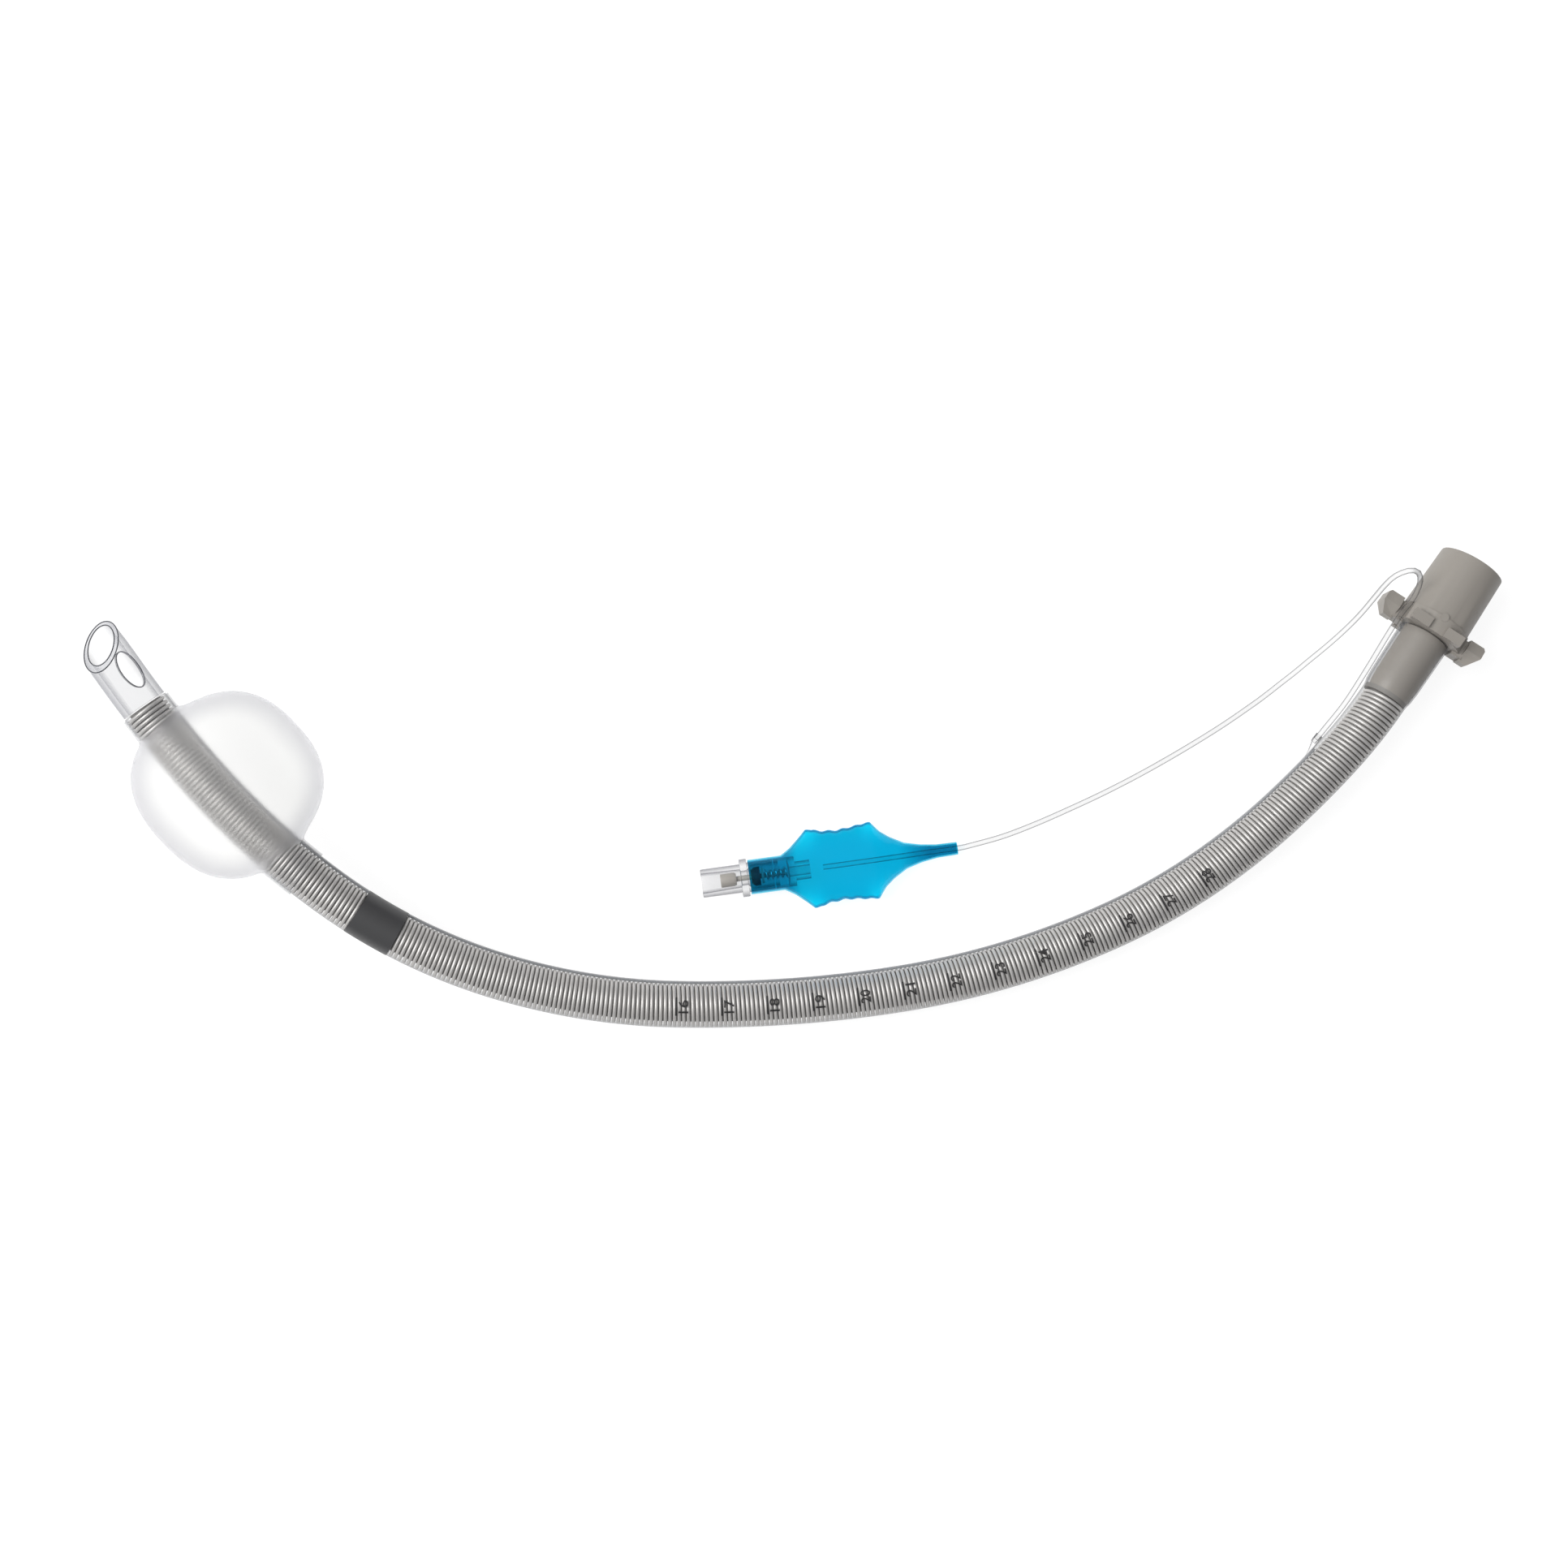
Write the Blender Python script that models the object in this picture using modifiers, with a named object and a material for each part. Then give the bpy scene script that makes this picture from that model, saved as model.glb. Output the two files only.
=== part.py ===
"""Wire-reinforced endotracheal tube with an inflated cuff, lying on a table.

The tube lies curved, its patient end at the left and its connector at the
upper right. Lengths are in millimetres until a mesh is made; z = 0 is the
table top and +Y is away from the viewer.
"""
import math

import bmesh
import bpy
import numpy as np
from mathutils import Matrix, Vector

MM = 0.001                      # metres in a millimetre
PRODUCT = "endotracheal_tube"

# fits
SEAT_GAP = 0.3                  # between a part and the neighbour it meets
SLIP_GAP = 0.2                  # round a part that lies inside another
PLAN_SHIFT = (-3.93, 0.98)      # brings the middle of the tube over the origin

# tube: course in plan from the patient end, as (length, turn in degrees)
TUBE_START = (-143.28, 28.31)
TUBE_HEADING = -57.44
TUBE_BENDS = ((20, 3.9), (20, 5.5), (30, 10.8), (40, 19.2), (40, 16.5), (50, 10.7),
              (50, 15.8), (24, 10.8), (20, 8.2), (16, 4.2), (17, 8.1), (60, 0.0))
CONNECTOR_HEADING = TUBE_HEADING + sum(turn for _, turn in TUBE_BENDS)

# tube: height of its centreline above the table
TUBE_RADIUS = 5.1
START_HEIGHT = 25.65            # held up by the cuff
FALL = 0.1468                   # slope from the cuff towards the table
FALL_END = 90.0                 # the slope starts to ease here
TOUCH_START = 190.0             # the tube lies on the table from here
TOUCH_END = 258.0               # ... to here, then rises to the connector
RISE_END = 328.0
CONNECTOR_HEIGHT = 9.0

# tube: section
TUBE_SIDES = 12
WALL_THICKNESS = 1.35
BORE_RADIUS = TUBE_RADIUS - WALL_THICKNESS
LINER_RADIUS = BORE_RADIUS + 0.16       # inner skin, inside the wire
SLEEVE_RADIUS = TUBE_RADIUS - 0.15      # inside of the outer skin, outside the wire
TUBE_SECTION_STEP = 15.0        # along the tube
JOINT_S = 14.8                  # where the clear tip is bonded on
FLANGE_S = 346.4                # machine-side face of the connector's flange
SPIGOT_LENGTH = 18.8            # from that face to the end of the spigot
FLANGE_THICKNESS = 3.9
TUBE_END_S = FLANGE_S - FLANGE_THICKNESS - SEAT_GAP
SPIGOT_END_S = FLANGE_S - SPIGOT_LENGTH
TUBE_END_RADIUS = TUBE_RADIUS + 0.75    # stretched over the spigot
SWELL_LENGTH = 4.0              # the tube starts to widen over this much of the spigot

# reinforcing wire; one turn here stands for two of the real 1 mm pitch
WIRE_PITCH = 2.0
WIRE_STEPS = 7                  # straight pieces in a turn
WIRE_OUTER = SLEEVE_RADIUS - 0.25
WIRE_DEPTH = 0.30
WIRE_WIDTH = 0.62
WIRE_START_S = JOINT_S + 0.9
WIRE_END_S = SPIGOT_END_S - 2.2

# clear tip
TIP_SIDES = 18
TIP_RADIUS = TUBE_RADIUS - 0.1
TIP_TAPER = ((2.5, 0.0), (-1.0, 0.25), (-4.0, 0.55), (-6.5, 0.8))   # (distance, narrower by)
TIP_LIP = 0.05                  # how much narrower the bore is at the mouth
TIP_MIDDLE_S = 8.0
TIP_BEVEL_S = -0.8              # where the slanted cut crosses the axis
TIP_BEVEL_NORMAL = (0.29, 0.93, -1.0)
EYE_S = 6.4                     # side opening in the far wall
EYE_SIZE = (4.2, 8.7)
EYE_OFFSET = 1.2

# cuff
CUFF_S = 38.5
CUFF_RADIUS = 20.1
CUFF_OFFSET = 3.8               # the balloon bulges towards the inside of the bend
CUFF_FILM = 0.25
CUFF_SIDES = 18
CUFF_ROWS = 12
COLLAR_RADIUS = TUBE_RADIUS + SLIP_GAP + CUFF_FILM
COLLAR_FRONT_S = JOINT_S + 0.3
COLLAR_REAR_S = 64.0

# connector: 15 mm cone, flange with two lugs
CONNECTOR_STEPS = 24
CONNECTOR_ROLL = -4.0           # degrees, turned about its own axis
BARREL_LENGTH = 14.5
BARREL_RADIUS = (7.68, 7.25)    # at the flange, at the mouth
MOUTH_RADIUS = 6.1
MOUTH_LEAD = 2.0                # length of the wider lead-in of the bore
SOCKET_RADIUS = 5.8             # bore of the cone, further in
SOCKET_S = 5.0
SPIGOT_RADIUS = (BORE_RADIUS - 0.25, BORE_RADIUS + 0.85)    # at its end, at the flange
SPIGOT_BORE = SPIGOT_RADIUS[0] - 0.75
FLANGE_RADIUS = 7.95
PAD_SIZE = (4.2, 2.3)           # raised pads on the flange, across and along
PAD_CENTRE = 3.9
PAD_TOP = 8.6
PAD_DEPTH = 2.2
LUG_NECK = (6.2, 8.7)           # from the axis, where the neck of a lug begins and ends
LUG_HEAD = 8.4
LUG_REACH = 12.1
NECK_SECTION = ((-4.6, 2.3), (-0.45, 2.3))      # (along, half height)
HEAD_SECTION = ((-5.0, 1.6), (-2.3, 3.4), (0.1, 2.7))
LUG_CUTS = (((10.5, -5.0), (2.6, -1.7)), ((12.1, -0.5), (0.5, 0.4)))    # (point, direction)
NOTCH_CENTRE = (7.6, 3.45)      # the line lies in this notch, across and up
NOTCH_SIZE = (4.0, 5.8)         # height and length
LINE_RADIUS = 0.6
NOTCH_WIDTH = 2 * (LINE_RADIUS + SEAT_GAP)

# inflation line: where it leaves the tube, then hand-placed points to the balloon
LINE_EXIT_BEFORE_SPIGOT = 16.6
LINE_EXIT_S = SPIGOT_END_S - LINE_EXIT_BEFORE_SPIGOT
BOSS_LENGTH = 5.8
BOSS_NOSE = 1.0
BOSS_RADIUS = 0.97
BOSS_CENTRE = TUBE_RADIUS - 0.1 + BOSS_RADIUS
LINE_SOCKET = 2.4               # depth of the hole in the boss
LINE_POINT_STEP = 2.8
LINE_ROUTE = (
    (118.0, 12.05, 8.25), (122.3, 17.8, 9.3), (126.7, 25.2, 10.6), (130.1, 31.3, 11.6),
    (132.7, 35.7, 12.2), (134.2, 37.9, 12.5), (135.4, 39.4, 12.9), (136.3, 41.5, 13.8),
    (136.5, 43.4, 15.4), (135.7, 45.0, 17.2), (134.2, 45.6, 18.3), (132.4, 45.4, 18.2),
    (130.4, 44.4, 16.9), (128.9, 42.6, 15.0), (127.6, 40.4, 12.7), (125.6, 37.2, 9.8),
    (123.6, 34.6, 7.5), (121.3, 32.1, 5.7), (118.7, 29.6, 4.2), (116.0, 27.2, 3.0),
    (113.2, 24.7, 2.0), (110.4, 22.4, 1.2), (107.3, 19.9, 0.8), (104.2, 17.6, 0.65),
    (97.8, 13.2, 0.65), (91.1, 9.0, 0.65), (84.3, 5.0, 0.65), (77.4, 1.2, 0.65),
    (70.3, -2.4, 0.65), (63.2, -5.7, 0.65), (55.9, -8.9, 0.65), (48.5, -11.7, 0.8),
    (40.8, -13.8, 1.3))
LINE_INSIDE = (57.6, 52.0, 45.0, 37.0, 27.0)    # along the valve's axis, in the balloon

# pilot balloon and valve, along their own axis from the mouth of the valve
VALVE_MOUTH = (-18.1, -22.0, 4.2)
VALVE_HEADING = 7.8
VALVE_STEPS = 16
PLUNGER_STEPS = 12
VALVE_FLANGE = (8.7, 10.3, 4.2)
VALVE_BARREL_RADIUS = 3.15
LUER_RADIUS = (2.2, 2.05)
SEAT_HOLE = 1.65
SEAT_U = 10.7
VALVE_BODY_END = 16.0
VALVE_BODY_RADIUS = 3.3
NECK_U = VALVE_FLANGE[1] + SEAT_GAP
BALLOON_FILM = 0.3
BALLOON_SIDES = 16
BALLOON_FLATNESS = 0.5          # how lens-shaped the wide part is
# (distance, half width, half height, drop of the axis) of the balloon
BALLOON_STATIONS = (
    (NECK_U, 3.85, 3.85, 0.0), (18.0, 3.85, 3.85, 0.0), (20.2, 5.2, 4.0, 0.0),
    (22.4, 7.1, 4.1, 0.0), (24.2, 8.8, 4.1, 0.0), (27.5, 8.0, 4.2, 0.0),
    (31.0, 7.7, 4.2, 0.0), (35.0, 8.1, 4.2, 0.0), (38.4, 8.6, 4.0, 0.05),
    (40.3, 6.2, 3.6, 0.35), (42.4, 4.6, 3.0, 0.9), (45.5, 2.9, 2.4, 1.6),
    (49.0, 2.0, 1.8, 2.3), (52.5, 1.5, 1.5, 2.65), (57.1, 1.4, 1.4, 2.75))
PLUNGER_HEAD = (4.2, 7.7, 1.5)
PLUNGER_STEM = 0.6
PLUNGER_END = 18.6
SEAL_U = (11.0, 13.0)
SEAL_RADIUS = 2.1
SPRING_U = (14.1, 19.2)
SPRING_RADIUS = 1.35
SPRING_WIRE = 0.16
SPRING_TURNS = 4.5
SPRING_STEPS = 10               # straight pieces in a turn
RETAINER_U = VALVE_BODY_END + 0.2
RETAINER_PLATE = (19.5, 20.8)
NOZZLE = (24.1, 2.1, 1.1)       # end, outer radius, bore radius


def clear_scene():
    for obj in list(bpy.data.objects):
        bpy.data.objects.remove(obj, do_unlink=True)


def new_collection(name):
    collection = bpy.data.collections.new(name)
    bpy.context.scene.collection.children.link(collection)
    return collection


def material(name, colour, roughness, metallic=0.0, alpha=1.0):
    mat = bpy.data.materials.new(name)
    mat.use_nodes = True
    shader = mat.node_tree.nodes["Principled BSDF"]
    shader.inputs["Base Color"].default_value = (*colour, 1.0)
    shader.inputs["Roughness"].default_value = roughness
    shader.inputs["Metallic"].default_value = metallic
    shader.inputs["Alpha"].default_value = alpha
    return mat


def add_object(name, mesh, collection, mat=None):
    obj = bpy.data.objects.new(name, mesh)
    collection.objects.link(obj)
    if mat:
        mesh.materials.append(mat)
    return obj


def finish_mesh(bm, name):
    """Close up, triangulate bent faces and point every face outwards."""
    bmesh.ops.remove_doubles(bm, verts=bm.verts, dist=0.002 * MM)
    bmesh.ops.triangulate(bm, faces=bm.faces)
    bmesh.ops.recalc_face_normals(bm, faces=bm.faces)
    mesh = bpy.data.meshes.new(name)
    bm.to_mesh(mesh)
    bm.free()
    return mesh


def bake(obj):
    """Replace an object's data by its evaluated mesh."""
    bpy.context.view_layer.update()
    graph = bpy.context.evaluated_depsgraph_get()
    mesh = bpy.data.meshes.new_from_object(obj.evaluated_get(graph))
    obj.modifiers.clear()
    obj.data = mesh
    return obj


def turned(name, profile, steps, collection, mat):
    """Turn a closed (radius, height) outline about Z, in millimetres."""
    mesh = bpy.data.meshes.new(name)
    verts = [(r * MM, 0.0, z * MM) for r, z in profile]
    on_axis = [i for i, (r, _) in enumerate(profile) if r == 0]
    edges = [(i, i + 1) for i in range(len(verts) - 1)]
    if not on_axis:
        edges.append((len(verts) - 1, 0))
    mesh.from_pydata(verts, edges, [])
    obj = add_object(name, mesh, collection, mat)
    screw = obj.modifiers.new("Turn", "SCREW")
    screw.steps = screw.render_steps = steps
    screw.use_merge_vertices = True
    screw.merge_threshold = 0.00001
    bake(obj)
    bm = bmesh.new()
    bm.from_mesh(obj.data)
    obj.data = finish_mesh(bm, name)
    obj.data.materials.append(mat)
    return obj


def boolean(obj, other, operation):
    mod = obj.modifiers.new(other.name, "BOOLEAN")
    mod.operation = operation
    mod.solver = "EXACT"
    mod.object = other
    bake(obj)
    bpy.data.objects.remove(other, do_unlink=True)


def shade(obj, angle=35.0):
    obj.data.shade_smooth()
    obj.data.set_sharp_from_angle(angle=math.radians(angle))


def tube_height(s):
    if s < FALL_END:
        return START_HEIGHT - FALL * s
    eased = FALL * (TOUCH_START - FALL_END) / 2
    base = START_HEIGHT - FALL * FALL_END
    if s < TOUCH_START:
        x = s - FALL_END
        return base - FALL * x + FALL * x * x / (2 * (TOUCH_START - FALL_END))
    low = base - eased
    x = min(max((s - TOUCH_END) / (RISE_END - TOUCH_END), 0.0), 1.0)
    return low + (CONNECTOR_HEIGHT - low) * x * x * (3 - 2 * x)


def trace_tube(step=0.5, before=12.0):
    """Centre points and headings along the tube, a step apart."""
    heading = math.radians(TUBE_HEADING)
    turns = [0.0] * round(before / step)
    for length, turn in TUBE_BENDS:
        count = round(length / step)
        turns += [math.radians(turn) / count] * count
    s = -before
    x = TUBE_START[0] - before * math.cos(heading)
    y = TUBE_START[1] - before * math.sin(heading)
    rows = []
    for turn in turns:
        rows.append((s, x, y, tube_height(s), heading))
        middle = heading + turn / 2
        run = math.sqrt(step ** 2 - (tube_height(s + step) - tube_height(s)) ** 2)
        x += run * math.cos(middle)
        y += run * math.sin(middle)
        heading += turn
        s += step
    return np.array(rows)


TRACE = trace_tube()


def tube_frame(s):
    """Centre, left-hand side, up and forward directions at arc length s."""
    x, y, z, heading = (np.interp(s, TRACE[:, 0], TRACE[:, k]) for k in (1, 2, 3, 4))
    rise = (tube_height(s + 0.5) - tube_height(s - 0.5)) / 1.0
    flat = math.sqrt(1 - rise * rise)
    forward = Vector((flat * math.cos(heading), flat * math.sin(heading), rise))
    side = Vector((-math.sin(heading), math.cos(heading), 0))
    return Vector((x, y, z)), side, forward.cross(side), forward


def on_tube(across, up, s):
    centre, side, top, _ = tube_frame(s)
    return (centre + side * across + top * up) * MM


def lay_on_tube(obj):
    """Bend a straight part, whose Z runs along the tube, onto its course."""
    for vert in obj.data.vertices:
        x, y, z = (c / MM for c in vert.co)
        vert.co = on_tube(x, y, z)
    obj.data.update()


def stations_between(first, last, step):
    count = max(1, math.ceil((last - first) / step))
    return [first + (last - first) * i / count for i in range(count + 1)]


WALL_STATIONS = stations_between(JOINT_S, WIRE_END_S + 1.2, TUBE_SECTION_STEP)


def in_wall(across, up, s):
    """Like on_tube, but straight between the wall's own sections."""
    i = min(max(int(np.searchsorted(WALL_STATIONS, s)) - 1, 0), len(WALL_STATIONS) - 2)
    a, b = WALL_STATIONS[i:i + 2]
    return on_tube(across, up, a).lerp(on_tube(across, up, b), (s - a) / (b - a))


def make_tube_wall(parts, mat):
    """Two clear skins with the wire's channel between them, open at the tip end."""
    course = WALL_STATIONS
    swell_s = SPIGOT_END_S + SWELL_LENGTH
    outer = [(TUBE_RADIUS, s) for s in course]
    outer += [(TUBE_RADIUS, SPIGOT_END_S - 0.6), (TUBE_RADIUS + 0.25, swell_s),
              (TUBE_END_RADIUS, TUBE_END_S)]
    bore_end = SPIGOT_RADIUS[1] + SEAT_GAP
    inner = [(bore_end, TUBE_END_S), (BORE_RADIUS + 0.3, swell_s),
             (BORE_RADIUS, SPIGOT_END_S - 0.6)]
    inner += [(BORE_RADIUS, s) for s in reversed(course)]
    channel = [(LINER_RADIUS, s) for s in course] + [(SLEEVE_RADIUS, s) for s in reversed(course)]
    wall = turned("tube_wall", outer + inner + channel, TUBE_SIDES, parts, mat)
    lay_on_tube(wall)

    hole = LINE_RADIUS + SLIP_GAP
    boss = turned("line_boss", [
        (0, 0), (BOSS_RADIUS * 0.6, 0), (BOSS_RADIUS, BOSS_NOSE), (BOSS_RADIUS, BOSS_LENGTH),
        (hole, BOSS_LENGTH), (hole, BOSS_LENGTH - LINE_SOCKET), (0, BOSS_LENGTH - LINE_SOCKET)],
        TUBE_SIDES, parts, mat)
    start, end = (in_wall(BOSS_CENTRE, 0, s) for s in (LINE_EXIT_S - BOSS_LENGTH, LINE_EXIT_S))
    boss.location = start
    boss.rotation_mode = "QUATERNION"
    boss.rotation_quaternion = Vector((0, 0, 1)).rotation_difference(end - start)
    boolean(wall, boss, "UNION")
    shade(wall)
    return wall


def make_wire(parts, mat):
    """A helix of three-sided wire, lying in the channel of the wall."""
    turns = int((WIRE_END_S - WIRE_START_S - WIRE_WIDTH) / WIRE_PITCH)
    section = ((WIRE_OUTER, -WIRE_WIDTH / 2), (WIRE_OUTER, WIRE_WIDTH / 2),
               (WIRE_OUTER - WIRE_DEPTH, 0.0))
    bm = bmesh.new()
    rows = []
    for i in range(turns * WIRE_STEPS + 1):
        angle = 2 * math.pi * i / WIRE_STEPS
        s = WIRE_START_S + WIRE_WIDTH / 2 + WIRE_PITCH * i / WIRE_STEPS
        rows.append([bm.verts.new(in_wall(r * math.cos(angle), r * math.sin(angle), s + ds))
                     for r, ds in section])
    for a, b in zip(rows, rows[1:]):
        for k in range(3):
            bm.faces.new((a[k], a[k - 1], b[k - 1], b[k]))
    bm.faces.new(rows[0])
    bm.faces.new(rows[-1])
    return add_object("reinforcing_wire", finish_mesh(bm, "reinforcing_wire"), parts, mat)


def make_tip(parts, cutters, mat):
    """Clear end piece: slanted mouth, rounded lip and a side eye."""
    end = JOINT_S - SEAT_GAP
    profile = [(TIP_RADIUS - narrower, s) for s, narrower in TIP_TAPER]
    profile += [(BORE_RADIUS - TIP_LIP, TIP_TAPER[-1][0]), (BORE_RADIUS, TIP_TAPER[0][0]),
                (BORE_RADIUS, TIP_MIDDLE_S), (BORE_RADIUS, end), (TIP_RADIUS, end),
                (TIP_RADIUS, TIP_MIDDLE_S)]
    tip = turned("bevelled_tip", profile, TIP_SIDES, parts, mat)
    lay_on_tube(tip)

    centre, side, top, forward = tube_frame(TIP_BEVEL_S)
    normal = sum((d * n for d, n in zip((side * -1, top, forward), TIP_BEVEL_NORMAL)), Vector())
    normal.normalize()
    bm = bmesh.new()
    bmesh.ops.create_cube(bm, size=30 * MM)
    turn = Vector((0, 0, 1)).rotation_difference(normal).to_matrix().to_4x4()
    place = Matrix.Translation((centre + normal * 15) * MM) @ turn
    bmesh.ops.transform(bm, matrix=place, verts=bm.verts)
    boolean(tip, add_object("bevel_cut", finish_mesh(bm, "bevel_cut"), cutters), "DIFFERENCE")

    centre, side, top, forward = tube_frame(EYE_S)
    bm = bmesh.new()
    bmesh.ops.create_cone(bm, cap_ends=True, segments=20, radius1=0.5, radius2=0.5, depth=6 * MM)
    axes = Matrix((side, forward, top * -1)).transposed().to_4x4()
    size = Matrix.Diagonal((EYE_SIZE[0] * MM, EYE_SIZE[1] * MM, 1, 1))
    place = Matrix.Translation((centre + side * EYE_OFFSET - top * 4.5) * MM) @ axes @ size
    bmesh.ops.transform(bm, matrix=place, verts=bm.verts)
    boolean(tip, add_object("eye_cut", finish_mesh(bm, "eye_cut"), cutters), "DIFFERENCE")
    shade(tip)
    return tip


def cuff_point(share, angle):
    """(s, radius) of the film; share runs 0 to 1 over the ball, from collar to collar."""
    cross = CUFF_OFFSET * math.sin(angle)
    inner = COLLAR_RADIUS - CUFF_OFFSET * math.cos(angle)
    half = math.sqrt(CUFF_RADIUS ** 2 - cross ** 2 - inner ** 2)
    along = -half * math.cos(math.pi * share)
    ball = CUFF_OFFSET * math.cos(angle) + math.sqrt(CUFF_RADIUS ** 2 - along ** 2 - cross ** 2)
    return CUFF_S + along, ball


def make_cuff(parts, mat):
    """Thin film, blown to an off-centre ball and open at both collars."""
    bm = bmesh.new()
    rows = []
    for i in range(-1, CUFF_ROWS + 2):
        ring = []
        for k in range(CUFF_SIDES):
            angle = 2 * math.pi * k / CUFF_SIDES
            s, r = cuff_point(min(max(i, 0), CUFF_ROWS) / CUFF_ROWS, angle)
            if i < 0:
                s = COLLAR_FRONT_S
            elif i > CUFF_ROWS:
                s = COLLAR_REAR_S
            ring.append(bm.verts.new(on_tube(r * math.cos(angle), r * math.sin(angle), s)))
        rows.append(ring)
    bridge_rows(bm, rows)
    cuff = add_object("cuff", open_mesh(bm, "cuff"), parts, mat)
    add_skin(cuff, CUFF_FILM)
    shade(cuff, 60)
    return cuff


def bridge_rows(bm, rows):
    for a, b in zip(rows, rows[1:]):
        for k in range(len(a)):
            bm.faces.new((a[k - 1], a[k], b[k], b[k - 1]))


def open_mesh(bm, name):
    bmesh.ops.triangulate(bm, faces=bm.faces)
    mesh = bpy.data.meshes.new(name)
    bm.to_mesh(mesh)
    bm.free()
    return mesh


def add_skin(obj, thickness):
    """Give an open skin its thickness, inwards."""
    skin = obj.modifiers.new("Film", "SOLIDIFY")
    skin.thickness = thickness * MM
    skin.offset = -1
    skin.use_even_offset = True


def make_connector(parts, cutters, mat):
    """Cone, flange with pads and lugs, and the spigot inside the tube."""
    profile = [
        (BARREL_RADIUS[1] - 0.25, BARREL_LENGTH), (BARREL_RADIUS[1], BARREL_LENGTH - 0.3),
        (BARREL_RADIUS[0], 0.0), (FLANGE_RADIUS, 0.0), (FLANGE_RADIUS, -FLANGE_THICKNESS),
        (SPIGOT_RADIUS[1], -FLANGE_THICKNESS), (SPIGOT_RADIUS[0], 0.4 - SPIGOT_LENGTH),
        (SPIGOT_RADIUS[0] - 0.2, -SPIGOT_LENGTH), (SPIGOT_BORE, -SPIGOT_LENGTH),
        (SPIGOT_BORE + 0.25, -2.0), (SOCKET_RADIUS, SOCKET_S),
        (MOUTH_RADIUS - 0.15, BARREL_LENGTH - MOUTH_LEAD), (MOUTH_RADIUS, BARREL_LENGTH)]
    body = turned("connector", profile, CONNECTOR_STEPS, parts, mat)
    pad_along = PAD_SIZE[1] / 2 - FLANGE_THICKNESS - 0.05
    for across in (-PAD_CENTRE, PAD_CENTRE):
        for up in (-1, 1):
            pad = box("pad", (PAD_SIZE[0], PAD_DEPTH, PAD_SIZE[1]),
                      (across, up * (PAD_TOP - PAD_DEPTH / 2), pad_along), cutters)
            boolean(body, pad, "UNION")
    for side in (-1, 1):
        boolean(body, make_bar("neck", NECK_SECTION, side, LUG_NECK, cutters), "UNION")
        head = make_bar("lug", HEAD_SECTION, side, (LUG_HEAD, LUG_REACH), cutters)
        boolean(body, cut_corners(head, side, LUG_CUTS), "UNION")
    roll = Matrix.Rotation(math.radians(CONNECTOR_ROLL), 4, "Z")
    height, length = NOTCH_SIZE
    x, y = NOTCH_CENTRE
    notch = box("notch", (NOTCH_WIDTH, height, length),
                (x, y - LINE_RADIUS - SEAT_GAP + height / 2, 0.1 - length / 2), cutters)
    notch.data.transform(roll.inverted())
    boolean(body, notch, "DIFFERENCE")
    body.data.transform(roll)
    centre, _, _, _ = tube_frame(FLANGE_S)
    body.location = centre * MM
    body.rotation_euler = (math.pi / 2, 0, math.radians(CONNECTOR_HEADING + 90))
    shade(body, 30)
    return body


def box(name, size, centre, collection):
    bm = bmesh.new()
    bmesh.ops.create_cube(bm, size=1.0)
    place = Matrix.Translation(Vector(centre) * MM) @ Matrix.Diagonal((*(Vector(size) * MM), 1))
    bmesh.ops.transform(bm, matrix=place, verts=bm.verts)
    return add_object(name, finish_mesh(bm, name), collection)


def make_bar(name, section, side, reach, collection):
    """A bar across the flange; its section is as high above the axis as below it."""
    outline = [(along, -half) for along, half in section]
    outline += [(along, half) for along, half in reversed(section)]
    near, far = (side * x * MM for x in reach)
    bm = bmesh.new()
    inner = [bm.verts.new((near, y * MM, z * MM)) for z, y in outline]
    outer = [bm.verts.new((far, y * MM, z * MM)) for z, y in outline]
    bm.faces.new(inner)
    bm.faces.new(outer)
    bridge_rows(bm, [inner, outer])
    return add_object(name, finish_mesh(bm, name), collection)


def cut_corners(obj, side, cuts):
    """Cut off what lies beyond each (across, along) point, in its direction."""
    bm = bmesh.new()
    bm.from_mesh(obj.data)
    for point, normal in cuts:
        cut = bmesh.ops.bisect_plane(
            bm, geom=bm.verts[:] + bm.edges[:] + bm.faces[:], clear_outer=True,
            plane_co=(side * point[0] * MM, 0, point[1] * MM),
            plane_no=(side * normal[0], 0, normal[1]))
        rim = [e for e in cut["geom_cut"] if isinstance(e, bmesh.types.BMEdge)]
        bmesh.ops.contextual_create(bm, geom=rim)
    obj.data = finish_mesh(bm, obj.name)
    return obj


def smooth_route(points, spacing):
    """Points a spacing apart on a smooth curve through hand-placed ones."""
    pts = [Vector(p) for p in points]
    pts = [pts[0] * 2 - pts[1]] + pts + [pts[-1] * 2 - pts[-2]]
    fine = []
    for a, b, c, d in zip(pts, pts[1:], pts[2:], pts[3:]):
        for i in range(12):
            t = i / 12
            fine.append(0.5 * ((2 * b) + (c - a) * t + (2 * a - 5 * b + 4 * c - d) * t * t
                               + (3 * b - a - 3 * c + d) * t ** 3))
    fine.append(pts[-2])
    length = np.r_[0, np.cumsum([(q - p).length for p, q in zip(fine, fine[1:])])]
    count = round(length[-1] / spacing)
    table = np.array(fine)
    return [tuple(np.interp(length[-1] * i / count, length, table[:, k]) for k in range(3))
            for i in range(count + 1)]


def on_valve(across, up, along):
    """World position in millimetres of a point given along the valve's axis."""
    heading = math.radians(VALVE_HEADING)
    forward = Vector((math.cos(heading), math.sin(heading), 0))
    side = Vector((-math.sin(heading), math.cos(heading), 0))
    return Vector(VALVE_MOUTH) + forward * along + side * across + Vector((0, 0, up))


def balloon_drop(along):
    return np.interp(along, [r[0] for r in BALLOON_STATIONS], [r[3] for r in BALLOON_STATIONS])


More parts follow.
